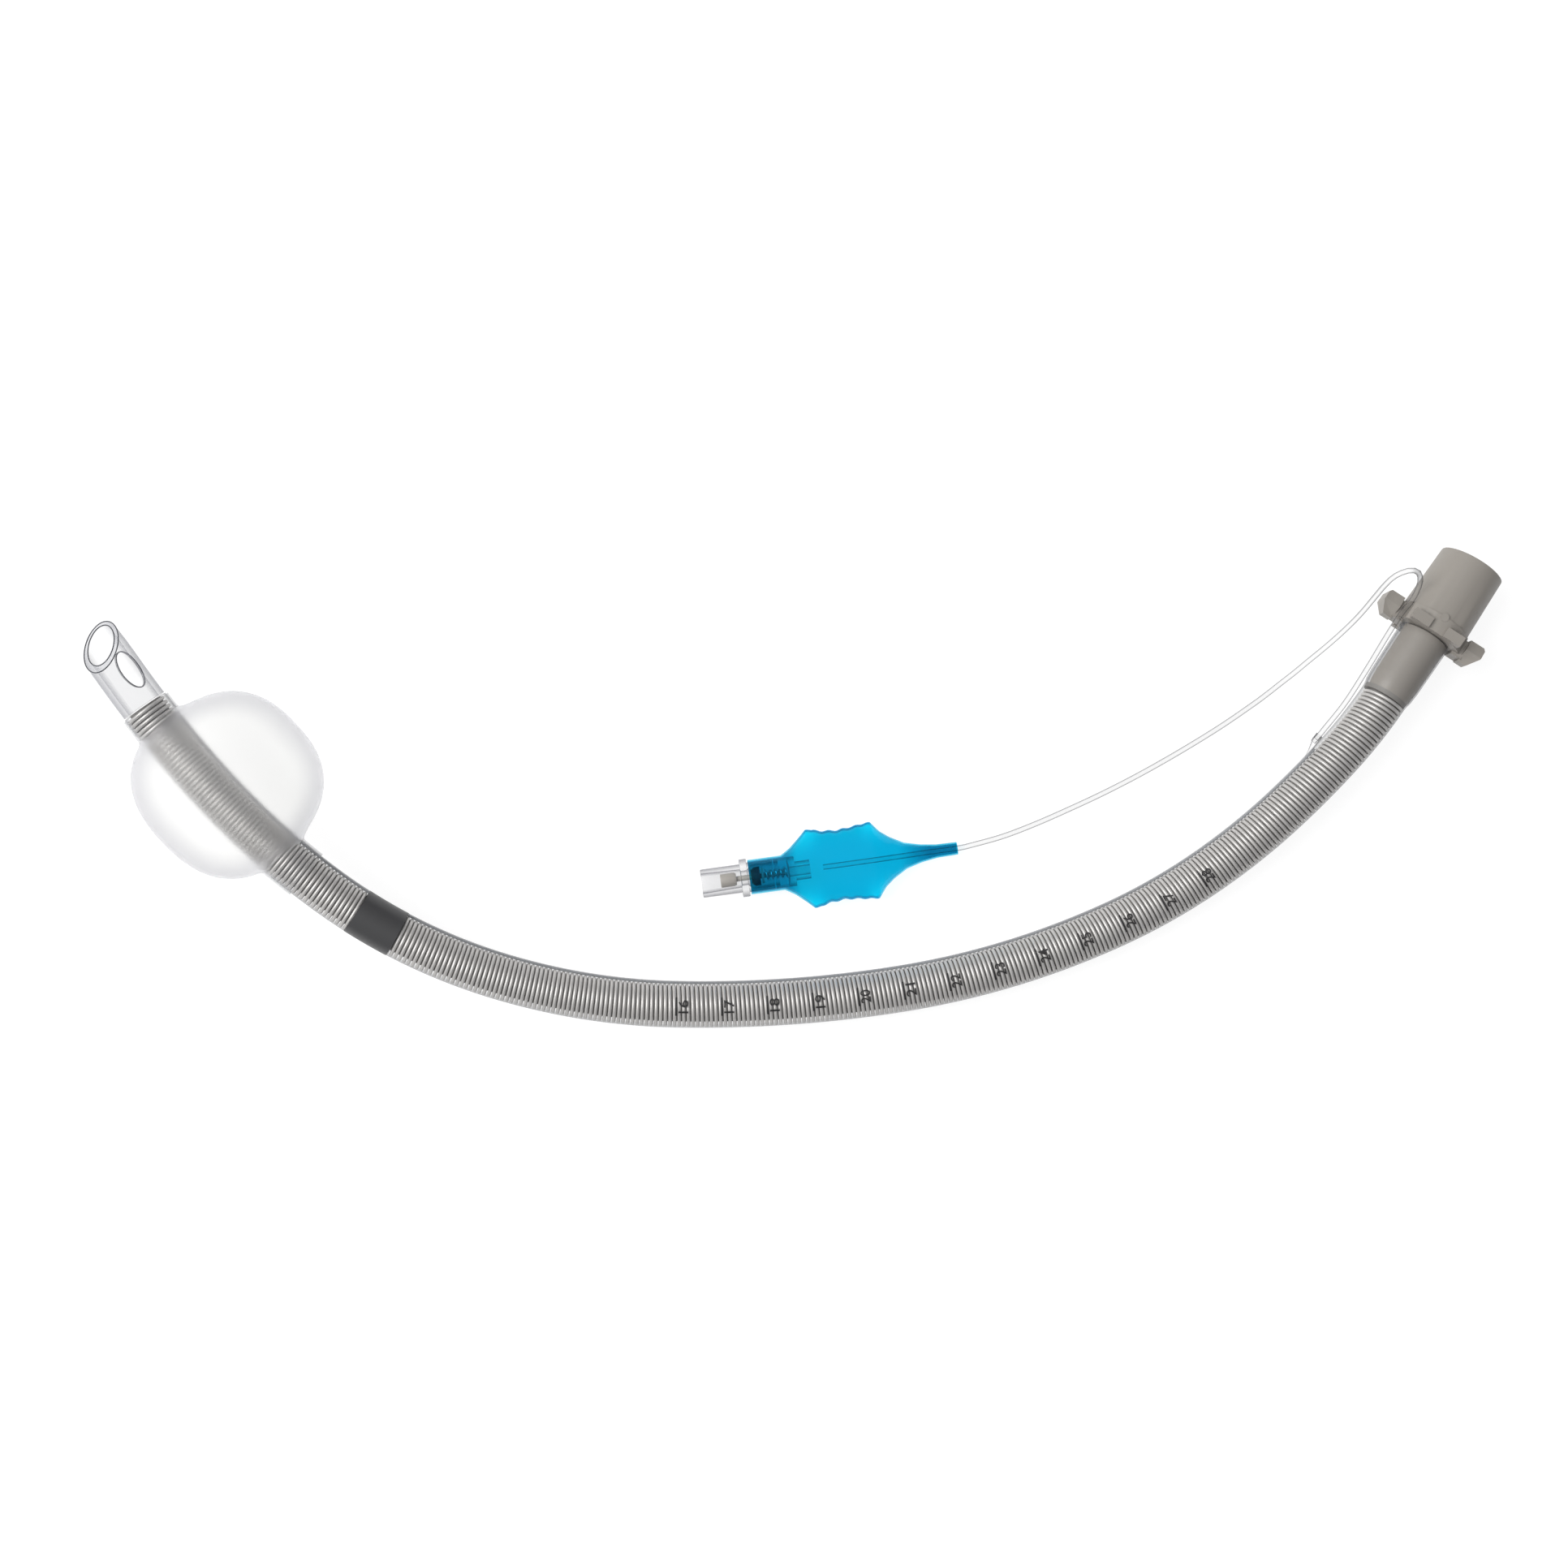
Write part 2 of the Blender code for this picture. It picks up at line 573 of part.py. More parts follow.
def make_line(parts, mat):
    """The thin line, from its socket in the tube to inside the pilot balloon."""
    start = [in_wall(BOSS_CENTRE, 0, s) / MM
             for s in (LINE_EXIT_S - LINE_SOCKET + SEAT_GAP, LINE_EXIT_S)]
    inside = [on_valve(0, -balloon_drop(u), u) for u in LINE_INSIDE]
    route = [tuple(p) for p in start] + list(LINE_ROUTE) + [tuple(p) for p in inside]
    curve = bpy.data.curves.new("inflation_line", "CURVE")
    curve.dimensions = "3D"
    curve.bevel_depth = LINE_RADIUS * MM
    curve.bevel_resolution = 2
    curve.use_fill_caps = True
    points = smooth_route(route, LINE_POINT_STEP)
    spline = curve.splines.new("POLY")
    spline.points.add(len(points) - 1)
    for point, co in zip(spline.points, points):
        point.co = (*(c * MM for c in co), 1.0)
    return add_object("inflation_line", curve, parts, mat)


def make_balloon(parts, mat):
    """Flattened film tube: round neck on the valve, wide body, narrow tail."""
    bm = bmesh.new()
    rows = []
    for along, wide, high, drop in BALLOON_STATIONS:
        ring = []
        lens = min(1.0, wide / high - 1.0)
        for k in range(BALLOON_SIDES):
            angle = 2 * math.pi * k / BALLOON_SIDES
            c, s = math.cos(angle), math.sin(angle)
            up = high * math.copysign(abs(s) ** (1 + BALLOON_FLATNESS * lens), s)
            ring.append(bm.verts.new(on_valve(wide * c, up - drop, along) * MM))
        rows.append(ring)
    bridge_rows(bm, rows)
    balloon = add_object("pilot_balloon", open_mesh(bm, "pilot_balloon"), parts, mat)
    add_skin(balloon, BALLOON_FILM)
    shade(balloon, 50)
    return balloon


def make_valve(parts, cutters, mats):
    """Luer check valve: housing, sprung plunger with its seal, and retainer."""
    frame = bpy.data.objects.new("valve_axis", None)
    parts.objects.link(frame)
    frame.location = Vector(VALVE_MOUTH) * MM
    frame.rotation_euler = (math.pi / 2, 0, math.radians(VALVE_HEADING + 90))

    flange_start, flange_end, flange_radius = VALVE_FLANGE
    housing = turned("valve_housing", [
        (LUER_RADIUS[0] + 0.1, 0.0), (VALVE_BARREL_RADIUS, 0.0),
        (VALVE_BARREL_RADIUS, flange_start), (flange_radius, flange_start),
        (flange_radius, flange_end), (VALVE_BODY_RADIUS, flange_end),
        (VALVE_BODY_RADIUS, VALVE_BODY_END), (2.75, VALVE_BODY_END), (2.75, SEAT_U + 0.5),
        (SEAT_HOLE, SEAT_U - 0.6), (SEAT_HOLE, SEAT_U - 1.8), (LUER_RADIUS[1], SEAT_U - 2.0)],
        VALVE_STEPS, parts, mats["clear"])

    head_start, head_end, head_radius = PLUNGER_HEAD
    stem = PLUNGER_STEM
    plunger = turned("valve_plunger", [
        (0, head_start), (head_radius, head_start), (head_radius, head_end - 0.5),
        (head_radius - 0.25, head_end), (stem, head_end), (stem, SEAL_U[1] + SEAT_GAP),
        (1.75, SEAL_U[1] + SEAT_GAP), (1.75, SPRING_U[0] - SEAT_GAP),
        (stem, SPRING_U[0] - SEAT_GAP), (stem, PLUNGER_END), (0, PLUNGER_END)],
        PLUNGER_STEPS, parts, mats["plunger"])

    bore = stem + SLIP_GAP
    seal = turned("valve_seal", [
        (bore, SEAL_U[0]), (SEAL_RADIUS - 0.55, SEAL_U[0]), (SEAL_RADIUS, SEAL_U[0] + 0.8),
        (SEAL_RADIUS, SEAL_U[1]), (bore, SEAL_U[1])], PLUNGER_STEPS, parts, mats["seal"])

    plate_start, plate_end = RETAINER_PLATE
    nozzle_end, nozzle_radius, nozzle_bore = NOZZLE
    retainer = turned("valve_retainer", [
        (2.75, RETAINER_U), (VALVE_BODY_RADIUS, RETAINER_U), (VALVE_BODY_RADIUS, plate_end),
        (nozzle_radius, plate_end), (nozzle_radius, nozzle_end), (nozzle_bore, nozzle_end),
        (nozzle_bore, plate_start), (2.0, plate_start), (2.75, plate_start - 0.3)],
        VALVE_STEPS, parts, mats["clear"])
    for turn in range(2):
        window = box("window", (3.2, 9.0, 1.9), (0, 0, RETAINER_U + 1.9), cutters)
        window.rotation_euler = (0, 0, math.radians(90 * turn + 45))
        bpy.context.view_layer.update()
        boolean(retainer, window, "DIFFERENCE")

    spring = make_spring(parts, mats["steel"])
    for obj in (housing, plunger, seal, retainer, spring):
        obj.parent = frame
        shade(obj, 30)


def make_spring(parts, mat):
    curve = bpy.data.curves.new("valve_spring", "CURVE")
    curve.dimensions = "3D"
    curve.bevel_depth = SPRING_WIRE * MM
    curve.bevel_resolution = 0
    curve.use_fill_caps = True
    count = round(SPRING_TURNS * SPRING_STEPS)
    spline = curve.splines.new("POLY")
    spline.points.add(count)
    low, high = SPRING_U[0] + SPRING_WIRE, SPRING_U[1] - SPRING_WIRE
    for i, point in enumerate(spline.points):
        angle = 2 * math.pi * i / SPRING_STEPS
        along = low + (high - low) * i / count
        point.co = (SPRING_RADIUS * math.cos(angle) * MM, SPRING_RADIUS * math.sin(angle) * MM,
                    along * MM, 1.0)
    spring = add_object("valve_spring", curve, parts, mat)
    bm = bmesh.new()
    graph = bpy.context.evaluated_depsgraph_get()
    bpy.context.view_layer.update()
    source = bpy.data.meshes.new_from_object(spring.evaluated_get(graph))
    bm.from_mesh(source)
    bpy.data.objects.remove(spring, do_unlink=True)
    return add_object("valve_spring", finish_mesh(bm, "valve_spring"), parts, mat)


def build():
    clear_scene()
    parts = new_collection(PRODUCT)
    cutters = new_collection("cutters")
    clear = material("clear_vinyl", (0.82, 0.83, 0.84), 0.15, alpha=0.35)
    mats = {
        "clear": material("clear_polycarbonate", (0.86, 0.87, 0.88), 0.1, alpha=0.4),
        "plunger": material("beige_nylon", (0.48, 0.45, 0.40), 0.45),
        "seal": material("black_rubber", (0.04, 0.04, 0.04), 0.6),
        "steel": material("spring_steel", (0.62, 0.62, 0.62), 0.25, metallic=1.0)}
    make_tube_wall(parts, clear)
    make_wire(parts, material("bright_wire", (0.72, 0.72, 0.71), 0.3, metallic=1.0))
    make_tip(parts, cutters, material("clear_tip_vinyl", (0.85, 0.85, 0.87), 0.12, alpha=0.35))
    make_cuff(parts, material("frosted_film", (0.90, 0.91, 0.92), 0.35, alpha=0.3))
    make_connector(parts, cutters, material("warm_grey_plastic", (0.36, 0.34, 0.31), 0.4))
    make_line(parts, material("clear_line_vinyl", (0.88, 0.88, 0.88), 0.15, alpha=0.5))
    make_balloon(parts, material("blue_film", (0.0, 0.38, 0.72), 0.2, alpha=0.7))
    make_valve(parts, cutters, mats)
    for obj in parts.objects:
        if obj.parent is None:
            obj.location += Vector((*PLAN_SHIFT, 0)) * MM


build()
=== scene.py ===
# %% [markdown]
# # A wire-reinforced breathing tube
#
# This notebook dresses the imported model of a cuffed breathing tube: a soft clear tube with a
# steel coil in its wall, an inflated film cuff near its tip, a grey connector at the other end,
# and a thin line to a blue pilot balloon with a small check valve.
#
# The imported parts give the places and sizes. Each cell makes one piece or one finish.

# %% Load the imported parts
import math

import bmesh
import bpy
import numpy as np
from mathutils import Matrix, Vector


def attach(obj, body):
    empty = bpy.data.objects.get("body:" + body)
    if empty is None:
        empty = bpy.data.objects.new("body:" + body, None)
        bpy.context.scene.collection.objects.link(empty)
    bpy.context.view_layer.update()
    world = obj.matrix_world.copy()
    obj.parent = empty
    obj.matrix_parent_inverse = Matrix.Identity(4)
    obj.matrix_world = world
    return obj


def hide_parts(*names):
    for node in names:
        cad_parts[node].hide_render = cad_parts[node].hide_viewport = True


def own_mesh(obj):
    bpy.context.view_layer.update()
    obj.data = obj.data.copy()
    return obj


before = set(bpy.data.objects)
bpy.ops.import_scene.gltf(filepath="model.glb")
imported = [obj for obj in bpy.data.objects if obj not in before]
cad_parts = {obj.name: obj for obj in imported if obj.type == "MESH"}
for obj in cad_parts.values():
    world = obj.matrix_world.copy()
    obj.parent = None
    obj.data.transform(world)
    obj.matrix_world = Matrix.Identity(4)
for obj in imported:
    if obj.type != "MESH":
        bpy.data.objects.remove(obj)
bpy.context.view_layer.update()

MM = 0.001

# %% [markdown]
# ## Camera, floor and light
#
# The tube was photographed from straight above, from about 45 cm. A short distance matters: the
# turns of the coil look like straight lines under the lens and like arcs far from it. The foot of
# the camera lies a little left of the middle of the frame, which is what a lens shift does.

# %% Place the camera above the table
PLAN_SHIFT = (-3.93, 0.98)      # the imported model's origin, as in the part's source
CAMERA_HEIGHT = 450.0
CAMERA_X = -10.0
FOCAL_PIXELS = 2491.4           # focal length in pixels of the photograph
FRAME_PIXELS = 1932
SHIFT_PIXELS = 56.0

camera_data = bpy.data.cameras.new("camera")
camera_data.sensor_width = 36.0
camera_data.lens = camera_data.sensor_width * FOCAL_PIXELS / FRAME_PIXELS
camera_data.shift_x = SHIFT_PIXELS / FRAME_PIXELS
camera = bpy.data.objects.new("camera", camera_data)
camera.location = ((CAMERA_X + PLAN_SHIFT[0]) * MM, PLAN_SHIFT[1] * MM, CAMERA_HEIGHT * MM)
bpy.context.scene.collection.objects.link(camera)
bpy.context.scene.camera = camera
bpy.context.scene.view_settings.view_transform = "Standard"
bpy.context.scene.cycles.transparent_max_bounces = 32
print("lens:", round(camera_data.lens, 2), "mm")

# %% [markdown]
# A clear object needs something to be seen against. The floor is a white table that keeps a
# faint soft shadow. A plain white floor would turn grey away from the lamp, so most of its white
# is a glow that only looking rays meet: the camera's, and those that look through the vinyl or by
# way of the wire. The rays that carry light meet a plain diffuse white instead.

# %% Make the floor
WHITE_GLOW = 0.86               # the part of the floor's white that a shadow can't take away
SHADOW_WHITE = (0.24, 0.24, 0.24, 1)        # the part that it can
BOUNCE_WHITE = (0.86, 0.86, 0.86, 1)        # what the object gets back from the floor
FLOOR_HALF, FLOOR_DROP = 4.0, 0.0003        # metres; it lies a hair below the lowest pieces


def seen_ray(nodes, links, kinds=("Is Glossy Ray", "Is Transmission Ray")):
    """1 for what the camera sees, straight on or by the other kinds of ray that are named."""
    path = nodes.new("ShaderNodeLightPath")
    total = path.outputs["Is Camera Ray"]
    for kind in kinds:
        larger = nodes.new("ShaderNodeMath")
        larger.operation = "MAXIMUM"
        links.new(total, larger.inputs[0])
        links.new(path.outputs[kind], larger.inputs[1])
        total = larger.outputs[0]
    return total


floor_white = bpy.data.materials.new("floor_white")
floor_white.use_nodes = True
nodes, links = floor_white.node_tree.nodes, floor_white.node_tree.links
nodes.clear()
out = nodes.new("ShaderNodeOutputMaterial")
plain = nodes.new("ShaderNodeBsdfDiffuse")
plain.inputs["Color"].default_value = BOUNCE_WHITE
faint = nodes.new("ShaderNodeBsdfDiffuse")
faint.inputs["Color"].default_value = SHADOW_WHITE
glow = nodes.new("ShaderNodeEmission")
glow.inputs["Strength"].default_value = WHITE_GLOW
both = nodes.new("ShaderNodeAddShader")
choose = nodes.new("ShaderNodeMixShader")
links.new(glow.outputs[0], both.inputs[0])
links.new(faint.outputs[0], both.inputs[1])
links.new(seen_ray(nodes, links), choose.inputs[0])
links.new(plain.outputs[0], choose.inputs[1])
links.new(both.outputs[0], choose.inputs[2])
links.new(choose.outputs[0], out.inputs["Surface"])

floor_mesh = bpy.data.meshes.new("floor")
floor_corners = [(x * FLOOR_HALF, y * FLOOR_HALF, 0) for x, y in ((-1, -1), (1, -1), (1, 1), (-1, 1))]
floor_mesh.from_pydata(floor_corners, [], [(0, 1, 2, 3)])
floor_mesh.materials.append(floor_white)
floor = bpy.data.objects.new("floor", floor_mesh)
floor.location.z = -FLOOR_DROP
bpy.context.scene.collection.objects.link(floor)
print("floor:", 2 * FLOOR_HALF, "m across, and white")

# %% [markdown]
# The sky is a soft gradient, brightest where the lamp stands, so that the round tube gets a lit
# flank and a shaded one. The camera sees plain white past the edge of the table. One large lamp on
# the left keeps the highlights long and soft. A small lamp would draw hard streaks on the vinyl.

# %% Make the sky and the lamp
SKY_TOWARDS = (-0.58, 0.12, 0.80)           # the direction of the brightest sky
SKY_DARK, SKY_BRIGHT, SKY_BRIGHT_FROM = (0.28, 0.28, 0.30, 1), (1.0, 1.0, 1.0, 1), 0.85
SKY_STRENGTH = 0.72
LAMP_PLACE, LAMP_SIZE, LAMP_WATTS = (-0.80, 0.22, 0.95), (0.7, 0.9), 13.3

world = bpy.data.worlds.new("studio")
bpy.context.scene.world = world
world.use_nodes = True
nodes, links = world.node_tree.nodes, world.node_tree.links
nodes.clear()
out = nodes.new("ShaderNodeOutputWorld")
direction = nodes.new("ShaderNodeTexCoord")
towards_lamp = nodes.new("ShaderNodeVectorMath")
towards_lamp.operation = "DOT_PRODUCT"
towards_lamp.inputs[1].default_value = Vector(SKY_TOWARDS).normalized()
ramp = nodes.new("ShaderNodeValToRGB")
dark_end, bright_end = ramp.color_ramp.elements
dark_end.position, dark_end.color = 0.0, SKY_DARK
bright_end.position, bright_end.color = SKY_BRIGHT_FROM, SKY_BRIGHT
sky = nodes.new("ShaderNodeBackground")
sky.inputs["Strength"].default_value = SKY_STRENGTH
white = nodes.new("ShaderNodeBackground")
white.inputs["Color"].default_value = (1, 1, 1, 1)
path = nodes.new("ShaderNodeLightPath")
choose = nodes.new("ShaderNodeMixShader")
links.new(direction.outputs["Generated"], towards_lamp.inputs[0])
links.new(towards_lamp.outputs["Value"], ramp.inputs[0])
links.new(ramp.outputs[0], sky.inputs["Color"])
links.new(path.outputs["Is Camera Ray"], choose.inputs[0])
links.new(sky.outputs[0], choose.inputs[1])
links.new(white.outputs[0], choose.inputs[2])
links.new(choose.outputs[0], out.inputs["Surface"])

lamp_data = bpy.data.lights.new("softbox", "AREA")
lamp_data.shape = "RECTANGLE"
lamp_data.size, lamp_data.size_y = LAMP_SIZE
lamp_data.energy = LAMP_WATTS
lamp = bpy.data.objects.new("softbox", lamp_data)
lamp.location = LAMP_PLACE
lamp.rotation_euler = (Vector((0, 0, 0)) - lamp.location).to_track_quat("-Z", "Y").to_euler()
bpy.context.scene.collection.objects.link(lamp)
print("light: a soft sky and one lamp of", LAMP_WATTS, "W from the left")

# %% [markdown]
# ## The course of the tube
#
# Every piece on the tube follows one curved centreline, so it is worked out once. A spline through
# a few points would be quicker, but its bend would vary between them, and a bent tube shows that.
# So in plan it is a chain of arcs. From the side it falls from the cuff, lies on the table, and
# rises to the connector. `on_tube` places a point by how far it is across, up and along.

# %% Work out the centreline
# All lengths are in millimetres. An s is a distance along the centreline, from 0 inside the tip.
TUBE_START = (-143.28 + PLAN_SHIFT[0], 28.31 + PLAN_SHIFT[1])
TUBE_HEADING = -57.44
# (length of an arc, its turn in degrees)
TUBE_BENDS = ((20, 3.9), (20, 5.5), (30, 10.8), (40, 19.2), (40, 16.5), (50, 10.7),
              (50, 15.8), (24, 10.8), (20, 8.2), (16, 4.2), (17, 8.1), (60, 0.0))
CONNECTOR_HEADING = TUBE_HEADING + sum(turn for _, turn in TUBE_BENDS)
START_HEIGHT, FALL, FALL_END = 25.65, 0.1468, 90.0
TOUCH_START, TOUCH_END, RISE_END = 190.0, 258.0, 328.0
CONNECTOR_HEIGHT = 9.0


def tube_height(s):
    """The height of the centreline: a slope, a curve down to the table, a flat run and a rise."""
    if s < FALL_END:
        return START_HEIGHT - FALL * s
    base = START_HEIGHT - FALL * FALL_END
    span = TOUCH_START - FALL_END
    if s < TOUCH_START:
        x = s - FALL_END
        return base - FALL * x + FALL * x * x / (2 * span)
    low = base - FALL * span / 2
    x = min(max((s - TOUCH_END) / (RISE_END - TOUCH_END), 0.0), 1.0)
    return low + (CONNECTOR_HEIGHT - low) * x * x * (3 - 2 * x)


def trace_tube(step=0.5, before=12.0):
    """Rows of (s, x, y, z, heading), from a little before the tip to past the connector."""
    heading = math.radians(TUBE_HEADING)
    turns = [0.0] * round(before / step)
    for length, turn in TUBE_BENDS:
        count = round(length / step)
        turns += [math.radians(turn) / count] * count
    s = -before
    x = TUBE_START[0] - before * math.cos(heading)
    y = TUBE_START[1] - before * math.sin(heading)
    rows = []
    for turn in turns:
        rows.append((s, x, y, tube_height(s), heading))
        middle = heading + turn / 2
        run = math.sqrt(step ** 2 - (tube_height(s + step) - tube_height(s)) ** 2)
        x += run * math.cos(middle)
        y += run * math.sin(middle)
        heading += turn
        s += step
    return np.array(rows)


TRACE = trace_tube()
print("centreline:", len(TRACE), "points, turning",
      round(CONNECTOR_HEADING - TUBE_HEADING, 1), "degrees from tip to connector")


# %% Place points on the tube
def tube_frame(s):
    """Centre, side towards the inside of the bend, top and forward, in millimetres."""
    x, y, z, heading = (np.interp(s, TRACE[:, 0], TRACE[:, k]) for k in (1, 2, 3, 4))
    rise = tube_height(s + 0.5) - tube_height(s - 0.5)
    flat = math.sqrt(1 - rise * rise)
    forward = Vector((flat * math.cos(heading), flat * math.sin(heading), rise))
    side = Vector((-math.sin(heading), math.cos(heading), 0))
    return Vector((x, y, z)), side, forward.cross(side), forward


def on_tube(across, up, s):
    """A place in metres, from millimetres across, up and along the tube."""
    centre, side, top, _ = tube_frame(s)
    return (centre + side * across + top * up) * MM


print("the tube lies lowest at", round(tube_height(TOUCH_START), 2), "mm, half its own thickness")

# %% [markdown]
# ## Two ways to make a mesh
#
# Most pieces here are round. `rings_to_object` joins rings of points into a skin. With the rings
# closed into a loop it makes a wall with an inside and an outside. `turned` makes those rings
# from a (radius, distance) outline, and a place function bends them onto the tube or the valve.

# %% Helpers for round pieces
WHOLE_RUNS = 40.0               # a step longer than any run of an outline: no points are added


def smooth_up_to(obj, degrees):
    """Smooth shading, but sharp at the edges that turn by more than so many degrees."""
    obj.data.shade_smooth()
    obj.data.set_sharp_from_angle(angle=math.radians(degrees))


def add_piece(name, bm, material, smooth_angle=40):
    """Turn a bmesh into an object. A piece with several finishes gets a tuple of materials."""
    bmesh.ops.remove_doubles(bm, verts=bm.verts, dist=0.001 * MM)
    bmesh.ops.recalc_face_normals(bm, faces=bm.faces)
    mesh = bpy.data.meshes.new(name)
    bm.to_mesh(mesh)
    bm.free()
    obj = bpy.data.objects.new(name, mesh)
    bpy.context.scene.collection.objects.link(obj)
    for finish in material if isinstance(material, tuple) else (material,):
        mesh.materials.append(finish)
    smooth_up_to(obj, smooth_angle)
    return obj


def rings_to_object(name, rings, material, loop=True, caps=False, smooth_angle=40, slot_of=None):
    """Join the rings. slot_of(row, k) picks the finish of a face, where a piece has several."""
    bm = bmesh.new()
    rows = [[bm.verts.new(p) for p in ring] for ring in rings]
    pairs = list(zip(rows, rows[1:])) + ([(rows[-1], rows[0])] if loop else [])
    for row, (a, b) in enumerate(pairs):
        for k in range(len(a)):
            face = bm.faces.new((a[k - 1], a[k], b[k], b[k - 1]))
            face.material_index = slot_of(row, k) if slot_of else 0
    if caps:
        bm.faces.new(rows[0])
        bm.faces.new(rows[-1])
    return add_piece(name, bm, material, smooth_angle)


def finer(outline, step):
    """Add points along a closed outline, so that none is further than a step from the next."""
    points = []
    for a, b in zip(outline, outline[1:] + outline[:1]):
        count = max(1, math.ceil(math.dist(a, b) / step))
        points += [tuple(p + (q - p) * i / count for p, q in zip(a, b)) for i in range(count)]
    return points


def circle(sides):
    """The angles of evenly spaced points on a circle."""
    return [2 * math.pi * k / sides for k in range(sides)]


def turned(name, outline, sides, place, material, step=WHOLE_RUNS, finish_of=None):
    """A closed outline of (radius, along), turned round the axis that place works along.

    finish_of(radius, along, angle) picks the finish of each face by where its middle is.
    """
    angles = circle(sides)
    points = finer(outline, step)
    rings = [[place(r * math.cos(a), r * math.sin(a), along) for a in angles] for r, along in points]

    def slot_of(row, k):
        (r, along), (next_r, next_along) = points[row], points[(row + 1) % len(points)]
        return finish_of((r + next_r) / 2, (along + next_along) / 2, angles[k] - math.pi / sides)

    return rings_to_object(name, rings, material, slot_of=slot_of if finish_of else None)


print("helpers for round pieces ready")


# %% Helpers for modifiers and booleans
def evaluated_mesh(obj):
    """A plain mesh of what an object looks like with its modifiers, its bevel or its letters."""
    return bpy.data.meshes.new_from_object(obj.evaluated_get(bpy.context.evaluated_depsgraph_get()))


def finish_modifiers(obj):
    """Apply an object's modifiers."""
    mesh = evaluated_mesh(obj)
    obj.modifiers.clear()
    obj.data = mesh


def cut_or_join(obj, other, operation):
    """Apply a boolean with another object, and remove that object."""
    mod = obj.modifiers.new(other.name, "BOOLEAN")
    mod.operation, mod.solver, mod.object = operation, "EXACT", other
    finish_modifiers(obj)
    bpy.data.objects.remove(other, do_unlink=True)


print("helpers for modifiers and booleans ready")

# %% [markdown]
# ## Finishes
#
# Each finish is one Principled shader. A thin clear wall hardly shows where we look straight
# through it, and turns grey where we see it edge-on, because the light has more vinyl to cross.
# Layer Weight measures just that. It drives the alpha of the clear finishes, and the colour of the
# cuff's frosted film. True glass could do it too, but thin curved walls that bend every ray come
# out noisy and dark. Only the frosted film and the blue film blur what lies behind them, so they
# use the shader's transmission, for looking rays alone: light goes straight through them, tinted,
# or the tube behind the film would be lit twice. A little noise in the roughness and the bump
# keeps the moulded surfaces from looking polished.

# %% Helpers for finishes
def principled(name, colour, roughness, **sockets):
    """A material with one Principled shader; other sockets are named with _ for a space."""
    material = bpy.data.materials.new(name)
    material.use_nodes = True
    shader = material.node_tree.nodes["Principled BSDF"]
    shader.inputs["Base Color"].default_value = (*colour, 1)
    shader.inputs["Roughness"].default_value = roughness
    for socket, value in sockets.items():
        shader.inputs[socket.replace("_", " ")].default_value = value
    return material


def grain(material, scale, bump, rough):
    """Fine unevenness: a bump of that many metres, and roughness between two values."""
    nodes, links = material.node_tree.nodes, material.node_tree.links
    shader = nodes["Principled BSDF"]
    where = nodes.new("ShaderNodeTexCoord")
    noise = nodes.new("ShaderNodeTexNoise")
    noise.inputs["Scale"].default_value = scale
    noise.inputs["Detail"].default_value = 3.0
    links.new(where.outputs["Object"], noise.inputs["Vector"])
    height = nodes.new("ShaderNodeBump")
    height.inputs["Distance"].default_value = bump
    links.new(noise.outputs["Fac"], height.inputs["Height"])
    links.new(height.outputs["Normal"], shader.inputs["Normal"])
    spread = nodes.new("ShaderNodeMapRange")
    spread.inputs["To Min"].default_value, spread.inputs["To Max"].default_value = rough
    links.new(noise.outputs["Fac"], spread.inputs["Value"])
    links.new(spread.outputs[0], shader.inputs["Roughness"])


print("helpers for plain finishes ready")


# %% Helpers for clear walls and films
def clear_to_light(material, tint):
    """A film bends the camera's rays alone. Light goes straight through it, so it counts once."""
    nodes, links = material.node_tree.nodes, material.node_tree.links
    shader, out = nodes["Principled BSDF"], nodes["Material Output"]
    hole = nodes.new("ShaderNodeBsdfTransparent")
    hole.inputs["Color"].default_value = (*tint, 1)
    mix = nodes.new("ShaderNodeMixShader")
    links.new(seen_ray(nodes, links, ("Is Transmission Ray",)), mix.inputs[0])
    links.new(hole.outputs[0], mix.inputs[1])
    links.new(shader.outputs[0], mix.inputs[2])
    links.new(mix.outputs[0], out.inputs["Surface"])


def edge_on_share(material, low, high, start):
    """From low, where we look straight at a wall, to high, where we see it edge-on."""
    nodes, links = material.node_tree.nodes, material.node_tree.links
    facing = nodes.new("ShaderNodeLayerWeight")
    facing.inputs["Blend"].default_value = 0.5
    spread = nodes.new("ShaderNodeMapRange")
    spread.inputs["From Min"].default_value = start
    spread.inputs["To Min"].default_value, spread.inputs["To Max"].default_value = low, high
    links.new(facing.outputs["Facing"], spread.inputs["Value"])
    return spread.outputs[0]


def denser_edge_on(material, straight, edge_on, start):
    """Let the alpha go from one value, seen straight on, to another where we see the wall edge-on."""
    share = edge_on_share(material, straight, edge_on, start)
    material.node_tree.links.new(share, material.node_tree.nodes["Principled BSDF"].inputs["Alpha"])


def blend_colours(material, first, second, share):
    """Mix two base colours by the share that another node gives."""
    nodes, links = material.node_tree.nodes, material.node_tree.links
    blend = nodes.new("ShaderNodeMix")
    blend.data_type = "RGBA"
    blend.inputs["A"].default_value, blend.inputs["B"].default_value = (*first, 1), (*second, 1)
    links.new(share, blend.inputs["Factor"])
    links.new(blend.outputs["Result"], nodes["Principled BSDF"].inputs["Base Color"])


print("helpers for clear walls and films ready")
